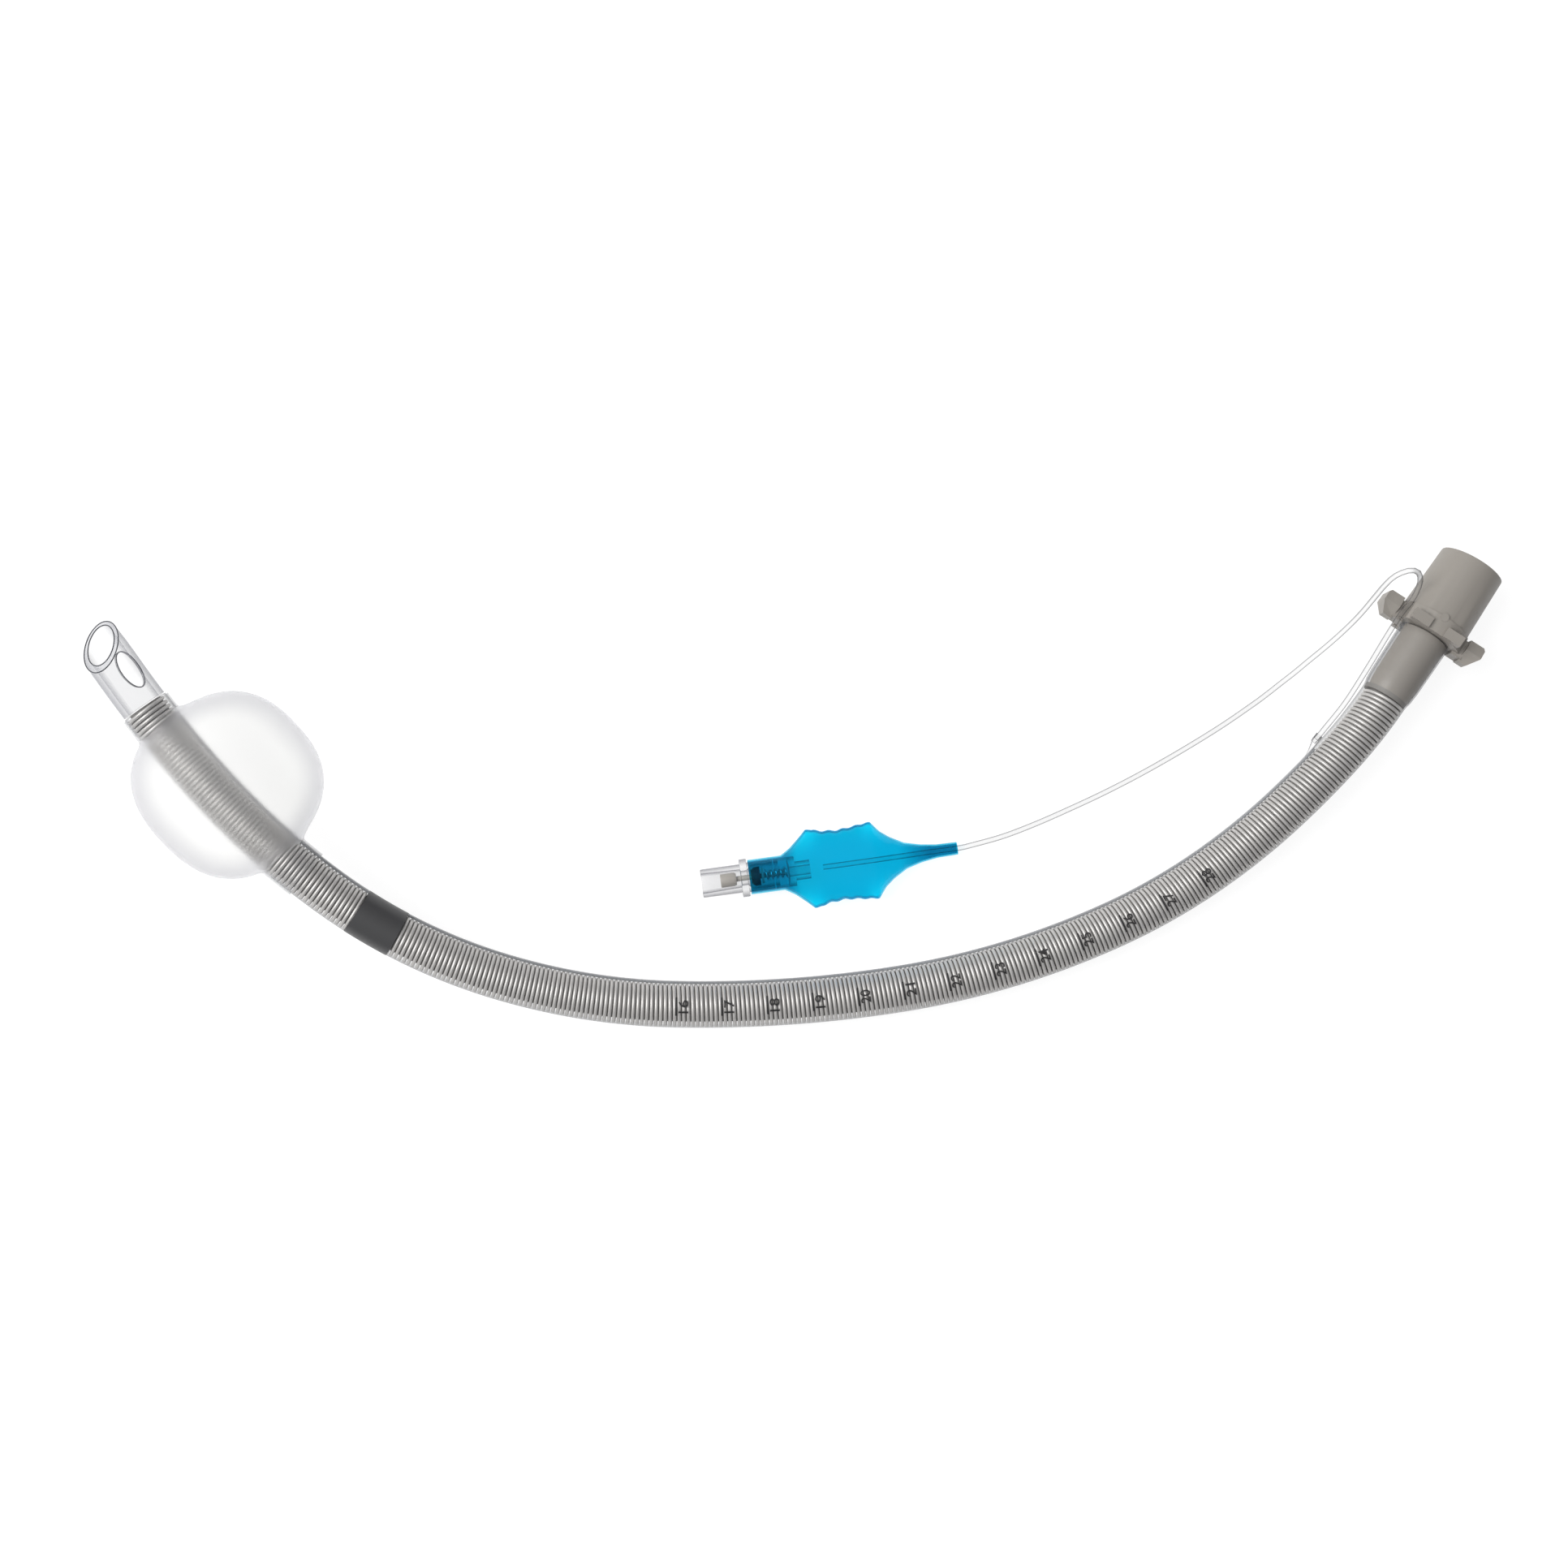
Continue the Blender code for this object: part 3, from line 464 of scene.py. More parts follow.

# %% [markdown]
# The vinyl differs from piece to piece only in how dense and how grey it looks, so each piece has
# a finish of its own. The bore's dark grey is not the vinyl's colour but painted shade. The wire is
# a dull bright steel. A mirror would reflect the lamp in one hard line, but the vinyl round the real
# wire spreads it.

# %% Make the finishes of the tube
wall_vinyl = principled("clear_vinyl_wall", (0.16, 0.165, 0.18), 0.20)
grain(wall_vinyl, 900, 0.00001, (0.15, 0.28))
denser_edge_on(wall_vinyl, 0.08, 0.72, 0.42)
# painted shade: the bore's dark grey stands in for the shade between and behind the turns of the coil
bore_painted_shade = principled("painted_shade_bore", (0.23, 0.22, 0.205), 0.60)
grain(bore_painted_shade, 900, 0.00001, (0.5, 0.7))
tip_vinyl = principled("clear_vinyl_tip", (0.27, 0.275, 0.31), 0.12)
grain(tip_vinyl, 500, 0.00001, (0.08, 0.18))
denser_edge_on(tip_vinyl, 0.09, 0.80, 0.12)
tip_bore_vinyl = principled("clear_tip_bore", (0.27, 0.275, 0.31), 0.30)
grain(tip_bore_vinyl, 500, 0.00001, (0.25, 0.35))
denser_edge_on(tip_bore_vinyl, 0.07, 0.42, 0.25)
# painted shade: the rims' near-black stands in for the light that a rounded clear rim bends away
rim_painted_shade = principled("rounded_rim_painted_shade", (0.055, 0.058, 0.07), 0.30, Alpha=0.90)
grain(rim_painted_shade, 800, 0.000005, (0.2, 0.35))
line_vinyl = principled("clear_vinyl_line", (0.08, 0.08, 0.09), 0.15)
grain(line_vinyl, 900, 0.000005, (0.1, 0.2))
denser_edge_on(line_vinyl, 0.05, 1.0, 0.12)
# painted light: the hollow line is real, but its grey stands in for the way the air in the wall bends
# the light
lumen_painted_refraction = principled("hollow_line_in_wall", (0.30, 0.31, 0.325), 0.35)
grain(lumen_painted_refraction, 700, 0.00001, (0.28, 0.45))
WHITE_FILM, GREY_FILM = (0.98, 0.98, 0.975), (0.62, 0.62, 0.65)
cuff_film = principled("frosted_cuff_film", WHITE_FILM, 0.33, Transmission_Weight=0.96, IOR=1.10)
grain(cuff_film, 350, 0.000004, (0.30, 0.36))
blend_colours(cuff_film, WHITE_FILM, GREY_FILM, edge_on_share(cuff_film, 0.0, 1.0, 0.28))
clear_to_light(cuff_film, (0.97, 0.97, 0.97))
collar_film = principled("glued_collar_film", (0.40, 0.41, 0.43), 0.20)
grain(collar_film, 900, 0.00001, (0.15, 0.28))
denser_edge_on(collar_film, 0.05, 0.40, 0.40)
bright_wire = principled("bright_wire", (0.66, 0.645, 0.625), 0.48, Metallic=0.6)
grain(bright_wire, 2500, 0.000002, (0.42, 0.55))
print("finishes for the tube ready")

# %% [markdown]
# ## The inflation line
#
# This thin line is a free cord: it leaves a small boss on the inside of the bend, loops over a
# notch in the connector's flange, and comes down on the table on its way to the balloon. A cloth
# or rope simulation could drop it there, but not along the route in the photograph. So a smooth
# curve runs through listed points, the same as in the part's source. A curve object with a
# round bevel is all that a cord needs.

# %% Choose the route of the line
LINE_RADIUS = 0.6
SEAT_GAP, SLIP_GAP = 0.3, 0.2
TUBE_RADIUS = 5.1
LINE_EXIT_S, BOSS_LENGTH, BOSS_RADIUS, LINE_SOCKET = 311.0, 5.8, 0.97, 2.4
BOSS_CENTRE = TUBE_RADIUS - 0.1 + BOSS_RADIUS
LINE_POINT_STEP = 2.8
LINE_ROUTE = (
    (118.0, 12.05, 8.25), (122.3, 17.8, 9.3), (126.7, 25.2, 10.6), (130.1, 31.3, 11.6),
    (132.7, 35.7, 12.2), (134.2, 37.9, 12.5), (135.4, 39.4, 12.9), (136.3, 41.5, 13.8),
    (136.5, 43.4, 15.4), (135.7, 45.0, 17.2), (134.2, 45.6, 18.3), (132.4, 45.4, 18.2),
    (130.4, 44.4, 16.9), (128.9, 42.6, 15.0), (127.6, 40.4, 12.7), (125.6, 37.2, 9.8),
    (123.6, 34.6, 7.5), (121.3, 32.1, 5.7), (118.7, 29.6, 4.2), (116.0, 27.2, 3.0),
    (113.2, 24.7, 2.0), (110.4, 22.4, 1.2), (107.3, 19.9, 0.8), (104.2, 17.6, 0.65),
    (97.8, 13.2, 0.65), (91.1, 9.0, 0.65), (84.3, 5.0, 0.65), (77.4, 1.2, 0.65),
    (70.3, -2.4, 0.65), (63.2, -5.7, 0.65), (55.9, -8.9, 0.65), (48.5, -11.7, 0.8),
    (40.8, -13.8, 1.3))
LINE_INSIDE = (57.6, 52.0, 45.0, 37.0, 27.0)
# Where the valve's mouth lies, and how far the balloon's axis has dropped (along, by) from it.
VALVE_MOUTH = Vector((-18.1 + PLAN_SHIFT[0], -22.0 + PLAN_SHIFT[1], 4.2))
VALVE_HEADING = math.radians(7.8)
DROPS = ((20.0, 0.0), (38.4, 0.05), (40.3, 0.35), (42.4, 0.9), (45.5, 1.6), (49.0, 2.3),
         (52.5, 2.65), (57.1, 2.75))


def on_valve(across, up, along):
    """A place in metres, from millimetres across, up and along from the valve's mouth."""
    forward = Vector((math.cos(VALVE_HEADING), math.sin(VALVE_HEADING), 0))
    side = Vector((-math.sin(VALVE_HEADING), math.cos(VALVE_HEADING), 0))
    return (VALVE_MOUTH + forward * along + side * across + Vector((0, 0, up))) * MM


def balloon_drop(along):
    """How far the axis of the balloon lies under the valve's axis."""
    return float(np.interp(along, [d[0] for d in DROPS], [d[1] for d in DROPS]))


print("route:", len(LINE_ROUTE), "points over the table and", len(LINE_INSIDE), "in the balloon")


# %% Run a smooth curve through the points
def smooth_route(points, spacing, steps=12):
    """Evenly spaced points on a smooth curve that passes through the given ones."""
    pts = [Vector(p) for p in points]
    pts = [pts[0] * 2 - pts[1]] + pts + [pts[-1] * 2 - pts[-2]]
    fine = []
    for a, b, c, d in zip(pts, pts[1:], pts[2:], pts[3:]):
        for i in range(steps):
            t = i / steps
            fine.append(0.5 * ((2 * b) + (c - a) * t + (2 * a - 5 * b + 4 * c - d) * t * t
                               + (3 * b - a - 3 * c + d) * t ** 3))
    fine.append(pts[-2])
    length = np.r_[0, np.cumsum([(q - p).length for p, q in zip(fine, fine[1:])])]
    count = round(length[-1] / spacing)
    table = np.array(fine)
    return [Vector(np.interp(length[-1] * i / count, length, table[:, k]) for k in range(3))
            for i in range(count + 1)]


line_start = [on_tube(BOSS_CENTRE, 0, s) / MM
              for s in (LINE_EXIT_S - LINE_SOCKET + SEAT_GAP, LINE_EXIT_S)]
line_table = [Vector((x + PLAN_SHIFT[0], y + PLAN_SHIFT[1], z)) for x, y, z in LINE_ROUTE]
line_inside = [on_valve(0, -balloon_drop(u), u) / MM for u in LINE_INSIDE]
route = smooth_route(line_start + line_table + line_inside, LINE_POINT_STEP / 2)

# %% Lay the inflation line
line_curve = bpy.data.curves.new("inflation_line_clear", "CURVE")
line_curve.dimensions = "3D"
line_curve.bevel_depth = LINE_RADIUS * MM
line_curve.bevel_resolution = 5
line_curve.use_fill_caps = True
spline = line_curve.splines.new("POLY")
spline.points.add(len(route) - 1)
for point, place in zip(spline.points, route):
    point.co = (*(place * MM), 1.0)
spline.use_smooth = True
line = bpy.data.objects.new("inflation_line_clear", line_curve)
line_curve.materials.append(line_vinyl)
bpy.context.scene.collection.objects.link(line)
print("inflation line:", 2 * LINE_RADIUS, "mm thick, with", len(route), "points")

# %% [markdown]
# ## The wall of the tube
#
# The real wall is one soft clear tube with the coil embedded in it. It swells over the
# connector's spigot. The piece is a closed outline of the wall's section, turned round the
# curved centreline. Its faces carry two more finishes. The bore is dark grey, and that grey is
# painted shade: it stands in for the shade between and behind the turns, so that the turns of
# the coil stand out against dark gaps. Over the spigot the vinyl clings to the grey plastic and
# magnifies it like a lens, so that it seems to fill the tube, apart from a sliver on the inside of
# the bend. There the section's inner side is drawn just under its outer side, and is grey.

# %% Make the wall
BORE_RADIUS = 3.75
JOINT_S, FLANGE_S, SPIGOT_LENGTH, FLANGE_THICKNESS = 14.8, 346.4, 18.8, 3.9
TUBE_END_S = FLANGE_S - FLANGE_THICKNESS - SEAT_GAP
SPIGOT_END_S = FLANGE_S - SPIGOT_LENGTH
SPIGOT_RADIUS = (BORE_RADIUS - 0.25, BORE_RADIUS + 0.85)
CLING_FROM_S = SPIGOT_END_S - 0.3
CLING_SKIN = 0.30               # how much vinyl seems to lie over the spigot
SLIVER_COSINES = (0.975, 0.955)  # the vinyl stands off the spigot up to this angle, at either end
WALL_SIDES = 72

grey_plastic = principled("warm_grey_plastic", (0.285, 0.264, 0.237), 0.42)
grain(grey_plastic, 700, 0.00002, (0.36, 0.52))


SWELL_START_S = SPIGOT_END_S - 1.4
# (distance along, how far the vinyl swells there)
SWELL = ((SWELL_START_S, 0.0), (SPIGOT_END_S - 0.4, 0.10), (SPIGOT_END_S + 0.6, 0.34),
         (SPIGOT_END_S + 3.0, 0.50), (TUBE_END_S - 1.2, 0.66), (TUBE_END_S - 0.35, 0.72),
         (TUBE_END_S, 0.64))


def wall_radius(s):
    """The outer radius of the wall."""
    return TUBE_RADIUS + float(np.interp(s, [p[0] for p in SWELL], [p[1] for p in SWELL]))


wall_outline = [(TUBE_RADIUS, JOINT_S)] + [(wall_radius(s), s) for s, _ in SWELL]
wall_outline += [(wall_radius(s) - CLING_SKIN, s) for s, _ in reversed(SWELL)]
wall_outline += [(BORE_RADIUS, SWELL_START_S), (BORE_RADIUS, JOINT_S)]


def wall_finish(radius, s, angle):
    """Clear outside, painted shade in the bore, grey where the vinyl clings to the spigot."""
    if radius > wall_radius(s) - CLING_SKIN / 2 or s <= JOINT_S or s >= TUBE_END_S:
        return 0
    if s < CLING_FROM_S:
        return 1
    sliver = np.interp(s, (CLING_FROM_S, TUBE_END_S), SLIVER_COSINES)
    under = math.sin(angle) < 0 and math.cos(angle) > 0
    return 0 if under or math.cos(angle) > sliver else 2


# the wall's second finish paints shade into the bore
wall = turned("tube_wall_clear", wall_outline, WALL_SIDES, on_tube,
              (wall_vinyl, bore_painted_shade, grey_plastic), step=1.5, finish_of=wall_finish)
print("wall:", len(wall.data.polygons), "faces")

# %% [markdown]
# The boss where the line leaves is moulded over the wall: it starts as a low bump and ends in a
# socket for the line. A short loft of circles gives that shape without a boolean, and its low end
# merges into the wall. The fine hollow line that feeds the cuff runs in the wall on the same side.
# It is air in vinyl on the real tube, and shows as a pale thread, so a thin solid thread is enough. Its
# grey is painted: it stands in for the way the air in the wall bends the light.

# %% Add the boss and the hollow line
# (distance past the line's exit, where the circle's middle is, its radius); the last two are the socket
BOSS_CIRCLES = ((-BOSS_LENGTH, 4.95, 0.10), (-BOSS_LENGTH + 1.5, 5.15, 0.36),
                (-BOSS_LENGTH + 3.0, 5.50, 0.60), (-1.6, 5.86, 0.78), (0.0, 5.97, 0.80),
                (0.0, 5.97, 0.66), (-1.2, 5.97, 0.66))
LUMEN_RADIUS, LUMEN_ACROSS, LUMEN_START_S = 0.27, 4.72, 20.0


def circle_on_tube(middle, radius, s, sides):
    """A ring of points round a place beside the tube's axis."""
    return [on_tube(middle + radius * math.cos(a), radius * math.sin(a), s) for a in circle(sides)]


boss_rings = [circle_on_tube(middle, radius, LINE_EXIT_S + past, 28)
              for past, middle, radius in BOSS_CIRCLES]
boss = rings_to_object("line_boss", boss_rings, line_vinyl, loop=False, caps=True)
# the thread carries the hollow line's painted grey
lumen_rings = [circle_on_tube(LUMEN_ACROSS, LUMEN_RADIUS, s, 12)
               for s in np.arange(LUMEN_START_S, LINE_EXIT_S - LINE_SOCKET, 1.5)]
lumen = rings_to_object("hollow_line", lumen_rings, lumen_painted_refraction, loop=False, caps=True)
print("boss and hollow line:", len(boss.data.polygons), "and", len(lumen.data.polygons), "faces")

# %% [markdown]
# ## The coil in the wall
#
# The coil is what gives this tube its look: one steel wire with a turn every millimetre, more than
# three hundred of them. Geometry Nodes are made for this. A line of points is numbered, each
# number becomes an angle and a distance along the centreline, and the points are moved there and
# joined into one wire. The pitch, the radius and the wire's thickness stay open as inputs. The
# coil sits a little towards the outer side of the bend, as the lens of the real wall shows it.

# %% Build the node tree of the coil
def coil_tree(wire_material):
    """A node tree that turns a centreline into a wire wound round it. Its sizes are in metres."""
    tree = bpy.data.node_groups.new("coil_in_wall", "GeometryNodeTree")
    face = tree.interface
    face.new_socket("Geometry", in_out="INPUT", socket_type="NodeSocketGeometry")
    for name, value in (("Pitch", 0.001), ("Coil radius", 0.004), ("Shift to outer side", 0.0002),
                        ("Wire radius", 0.0003), ("Start", 0.005), ("Turns", 300.0),
                        ("Points per turn", 24.0)):
        socket = face.new_socket(name, in_out="INPUT", socket_type="NodeSocketFloat")
        socket.default_value = value
    face.new_socket("Geometry", in_out="OUTPUT", socket_type="NodeSocketGeometry")
    nodes, links = tree.nodes, tree.links
    entry, leave = nodes.new("NodeGroupInput"), nodes.new("NodeGroupOutput")

    def maths(operation, a, b=None):
        node = nodes.new("ShaderNodeMath")
        node.operation = operation
        for socket, value in zip(node.inputs, (a, b)):
            if isinstance(value, (int, float)):
                socket.default_value = value
            elif value is not None:
                links.new(value, socket)
        return node.outputs[0]

    def vectors(operation, a, b=None, scale=None):
        node = nodes.new("ShaderNodeVectorMath")
        node.operation = operation
        for socket, value in zip(node.inputs, (a, b)):
            if isinstance(value, tuple):
                socket.default_value = value
            elif value is not None:
                links.new(value, socket)
        if scale is not None:
            links.new(scale, node.inputs["Scale"])
        return node.outputs[0]

    count = maths("ADD", maths("MULTIPLY", entry.outputs["Turns"], entry.outputs["Points per turn"]), 1)
    points = nodes.new("GeometryNodeMeshLine")
    links.new(count, points.inputs["Count"])
    number = nodes.new("GeometryNodeInputIndex").outputs[0]
    turn = maths("DIVIDE", number, entry.outputs["Points per turn"])
    along = maths("ADD", entry.outputs["Start"], maths("MULTIPLY", turn, entry.outputs["Pitch"]))
    angle = maths("MULTIPLY", turn, 2 * math.pi)

    guide = nodes.new("GeometryNodeMeshToCurve")
    links.new(entry.outputs["Geometry"], guide.inputs[0])
    sample = nodes.new("GeometryNodeSampleCurve")
    sample.mode = "LENGTH"
    links.new(guide.outputs[0], sample.inputs["Curves"])
    links.new(along, sample.inputs["Length"])
    tangent = sample.outputs["Tangent"]
    side = vectors("NORMALIZE", vectors("CROSS_PRODUCT", (0.0, 0.0, 1.0), tangent))
    top = vectors("CROSS_PRODUCT", tangent, side)
    across = maths("SUBTRACT", maths("MULTIPLY", maths("COSINE", angle), entry.outputs["Coil radius"]),
                   entry.outputs["Shift to outer side"])
    rise = maths("MULTIPLY", maths("SINE", angle), entry.outputs["Coil radius"])
    offset = vectors("ADD", vectors("SCALE", side, scale=across), vectors("SCALE", top, scale=rise))
    place = nodes.new("GeometryNodeSetPosition")
    links.new(points.outputs[0], place.inputs["Geometry"])
    links.new(vectors("ADD", sample.outputs["Position"], offset), place.inputs["Position"])

    thread = nodes.new("GeometryNodeMeshToCurve")
    links.new(place.outputs[0], thread.inputs[0])
    section = nodes.new("GeometryNodeCurvePrimitiveCircle")
    section.inputs["Resolution"].default_value = 7
    links.new(entry.outputs["Wire radius"], section.inputs["Radius"])
    sweep = nodes.new("GeometryNodeCurveToMesh")
    sweep.inputs["Fill Caps"].default_value = True
    links.new(thread.outputs[0], sweep.inputs["Curve"])
    links.new(section.outputs["Curve"], sweep.inputs["Profile Curve"])
    smooth = nodes.new("GeometryNodeSetShadeSmooth")
    links.new(sweep.outputs[0], smooth.inputs["Geometry"])
    real = nodes.new("GeometryNodeRealizeInstances")
    links.new(smooth.outputs[0], real.inputs[0])
    finish = nodes.new("GeometryNodeSetMaterial")
    finish.inputs["Material"].default_value = wire_material
    links.new(real.outputs[0], finish.inputs["Geometry"])
    links.new(finish.outputs[0], leave.inputs[0])
    return tree


# %% Run the tree along the tube's centreline
WIRE_START_S, WIRE_END_S = JOINT_S + 0.6, SPIGOT_END_S - 1.6
WIRE_PITCH, GUIDE_STEP, GUIDE_POINTS = 1.0, 0.5, 700
WIRE_SIZES = {"Pitch": WIRE_PITCH * MM, "Coil radius": 4.36 * MM, "Shift to outer side": 0.28 * MM,
              "Wire radius": 0.41 * MM, "Start": WIRE_START_S * MM,
              "Turns": (WIRE_END_S - WIRE_START_S) / WIRE_PITCH, "Points per turn": 24.0}
guide_mesh = bpy.data.meshes.new("centreline")
guide_points = [on_tube(0, 0, GUIDE_STEP * i) for i in range(GUIDE_POINTS)]
guide_mesh.from_pydata(guide_points, [(i, i + 1) for i in range(GUIDE_POINTS - 1)], [])
coil = bpy.data.objects.new("wire_coil", guide_mesh)
bpy.context.scene.collection.objects.link(coil)
tree = coil_tree(bright_wire)
modifier = coil.modifiers.new("coil", "NODES")
modifier.node_group = tree
for item in tree.interface.items_tree:
    if item.in_out == "INPUT" and item.name in WIRE_SIZES:
        modifier[item.identifier] = WIRE_SIZES[item.name]
finish_modifiers(coil)
print("coil:", round(WIRE_SIZES["Turns"]), "turns,", len(coil.data.polygons), "faces")

# %% [markdown]
# ## Print on the tube
#
# A depth scale is printed on the outside: a tick every centimetre with its plain number, and a
# solid black band above the cuff. An image texture would blur close up, so the ink is a mesh. Text
# is flat, so its mesh is cut into narrow strips first and then each point is wrapped round the tube.

# %% Helpers for print
INK_LIFT, INK_THICKNESS = 0.03, 0.02
STRIPS = np.arange(-3, 3.01, 0.3)           # where a flat pattern is cut before it is wrapped
FIRST_MARK, LAST_MARK, FIRST_MARK_S = 16, 28, 150.0
TICK_HALF_LENGTH, TICK_WIDTH = 2.05, 0.38
NUMERAL_HEIGHT, NUMERAL_WIDTH, NUMERAL_GAP, NUMERAL_BOLDNESS = 2.2, 2.9, 0.45, 0.006
ink = principled("black_print", (0.012, 0.011, 0.012), 0.5)
grain(ink, 1500, 0.00001, (0.35, 0.6))


def wrap_on_tube(bm, s_zero):
    """x of the flat pattern goes round the tube from its top, y runs along it."""
    for cut in STRIPS:
        geometry = bm.verts[:] + bm.edges[:] + bm.faces[:]
        bmesh.ops.bisect_plane(bm, geom=geometry, plane_co=(cut, 0, 0), plane_no=(1, 0, 0))
    radius = TUBE_RADIUS + INK_LIFT
    for vert in bm.verts:
        angle = vert.co.x / radius
        lift = radius + vert.co.z
        vert.co = on_tube(lift * math.sin(angle), lift * math.cos(angle), s_zero + vert.co.y)


def numeral_mesh(text):
    """Flat letters as a mesh. The text object is removed again."""
    curve = bpy.data.curves.new("numeral", "FONT")
    curve.body = text
    curve.resolution_u = 4
    curve.offset = NUMERAL_BOLDNESS
    obj = bpy.data.objects.new("numeral", curve)
    bpy.context.scene.collection.objects.link(obj)
    bpy.context.view_layer.update()
    mesh = evaluated_mesh(obj)
    bpy.data.objects.remove(obj, do_unlink=True)
    return mesh


def add_print(scale, pattern, s_zero):
    """Wrap a flat pattern on the tube and add it to the scale."""
    wrap_on_tube(pattern, s_zero)
    bmesh.ops.triangulate(pattern, faces=pattern.faces)
    mesh = bpy.data.meshes.new("pattern")
    pattern.to_mesh(mesh)
    pattern.free()
    scale.from_mesh(mesh)
    bpy.data.meshes.remove(mesh)


print("helpers for print ready")

# %% Print the depth scale
scale = bmesh.new()
for number in range(FIRST_MARK, LAST_MARK + 1):
    s_mark = FIRST_MARK_S + 10.0 * (number - FIRST_MARK)
    bm = bmesh.new()
    corners = [bm.verts.new((x, y, 0)) for x, y in (
        (-TICK_HALF_LENGTH, -TICK_WIDTH / 2), (TICK_HALF_LENGTH, -TICK_WIDTH / 2),
        (TICK_HALF_LENGTH, TICK_WIDTH / 2), (-TICK_HALF_LENGTH, TICK_WIDTH / 2))]
    bm.faces.new(corners)
    add_print(scale, bm, s_mark)
    bm = bmesh.new()
    bm.from_mesh(numeral_mesh(str(number)))
    xs, ys = [v.co.x for v in bm.verts], [v.co.y for v in bm.verts]
    for vert in bm.verts:
        x = ((vert.co.x - min(xs)) / (max(xs) - min(xs)) - 0.5) * NUMERAL_WIDTH
        y = (1 - (vert.co.y - min(ys)) / (max(ys) - min(ys))) * NUMERAL_HEIGHT
        vert.co = (x, y + NUMERAL_GAP, 0)
    add_print(scale, bm, s_mark)
scale_mesh = bpy.data.meshes.new("depth_scale")
scale.to_mesh(scale_mesh)
scale.free()
scale_mesh.materials.append(ink)
depth_scale = bpy.data.objects.new("depth_scale", scale_mesh)
bpy.context.scene.collection.objects.link(depth_scale)
print("depth scale:", LAST_MARK - FIRST_MARK + 1, "numbers with their ticks")

# %% Print the black band
BAND_START, BAND_END = 77.0, 87.0
ink_inside, ink_outside = TUBE_RADIUS + INK_LIFT, TUBE_RADIUS + INK_LIFT + INK_THICKNESS
band_outline = [(ink_inside, BAND_START), (ink_inside, BAND_END),
                (ink_outside, BAND_END), (ink_outside, BAND_START)]
band_ink = principled("charcoal_band", (0.045, 0.045, 0.047), 0.38)
grain(band_ink, 1200, 0.00001, (0.3, 0.5))
band = turned("depth_band", band_outline, WALL_SIDES, on_tube, band_ink, step=1.0)
print("band:", BAND_END - BAND_START, "mm long")

# %% [markdown]
# ## The clear tip
#
# The tip has no wire: it is moulded from clear vinyl and bonded on. Its mouth is cut at a slant
# that faces the camera, and a second opening, the eye, lies in the far wall. A boolean cuts both
# out of a turned wall, as a knife and a punch do on the real one. Its inner side has a finish of
# its own, because a clear wall is two skins, and the far one looks fainter.

# %% Turn the tip and cut its openings
TIP_RADIUS = TUBE_RADIUS - 0.1
TIP_BEVEL_S, TIP_BEVEL_NORMAL = -0.8, (0.29, 0.93, -1.0)
BEVEL_CUBE = 30                 # the size of the cube that cuts the slant
EYE_S, EYE_SIZE, EYE_OFFSET, EYE_DROP, EYE_DEPTH = 6.4, (4.2, 8.7), 1.2, 4.5, 6
tip_end = JOINT_S - SEAT_GAP
tip_outline = [(TIP_RADIUS, 3.5), (4.95, 1.0), (4.78, -1.5), (4.5, -4.0), (4.2, -6.5), (3.7, -6.5),
               (3.72, -4.0), (BORE_RADIUS, 2.5), (BORE_RADIUS, tip_end), (TIP_RADIUS, tip_end)]
tip = turned("tip_clear", tip_outline, 72, on_tube, (tip_vinyl, tip_bore_vinyl), step=2.0,
             finish_of=lambda radius, s, angle: 1 if radius < BORE_RADIUS + 0.1 else 0)
centre, side, top, forward = tube_frame(TIP_BEVEL_S)
across, up, along = TIP_BEVEL_NORMAL
normal = (side * -across + top * up + forward * along).normalized()
bm = bmesh.new()
bmesh.ops.create_cube(bm, size=BEVEL_CUBE * MM)
turn = Vector((0, 0, 1)).rotation_difference(normal).to_matrix().to_4x4()
place = Matrix.Translation((centre + normal * BEVEL_CUBE / 2) * MM) @ turn
bmesh.ops.transform(bm, matrix=place, verts=bm.verts)
cut_or_join(tip, add_piece("bevel_cut", bm, tip_vinyl), "DIFFERENCE")
centre, side, top, forward = tube_frame(EYE_S)
bm = bmesh.new()
bmesh.ops.create_cone(bm, cap_ends=True, segments=64, radius1=0.5, radius2=0.5, depth=EYE_DEPTH * MM)
axes = Matrix((side, forward, top * -1)).transposed().to_4x4()
place = (Matrix.Translation((centre + side * EYE_OFFSET - top * EYE_DROP) * MM) @ axes
         @ Matrix.Diagonal((EYE_SIZE[0] * MM, EYE_SIZE[1] * MM, 1, 1)))
bmesh.ops.transform(bm, matrix=place, verts=bm.verts)
cut_or_join(tip, add_piece("eye_cut", bm, tip_vinyl), "DIFFERENCE")
print("tip:", len(tip.data.polygons), "faces with its mouth and its eye")

# %% [markdown]
# Heat rounds the fresh edges of the real tip, and such a rounded rim bends the light away and
# looks dark. A bevel can't follow edges this fine, so each closed chain of sharp edges gets a thin
# bead instead, with its own finish. That finish is near-black painted shade, for the light that
# the rim bends away.

# %% Find the rims of the openings
SHARP_ANGLE, MERGE_DISTANCE = 18, 0.02      # degrees, mm
BEAD_STEP, BEAD_POINTS = 0.5, 8             # mm between a bead's points, and the fewest of them


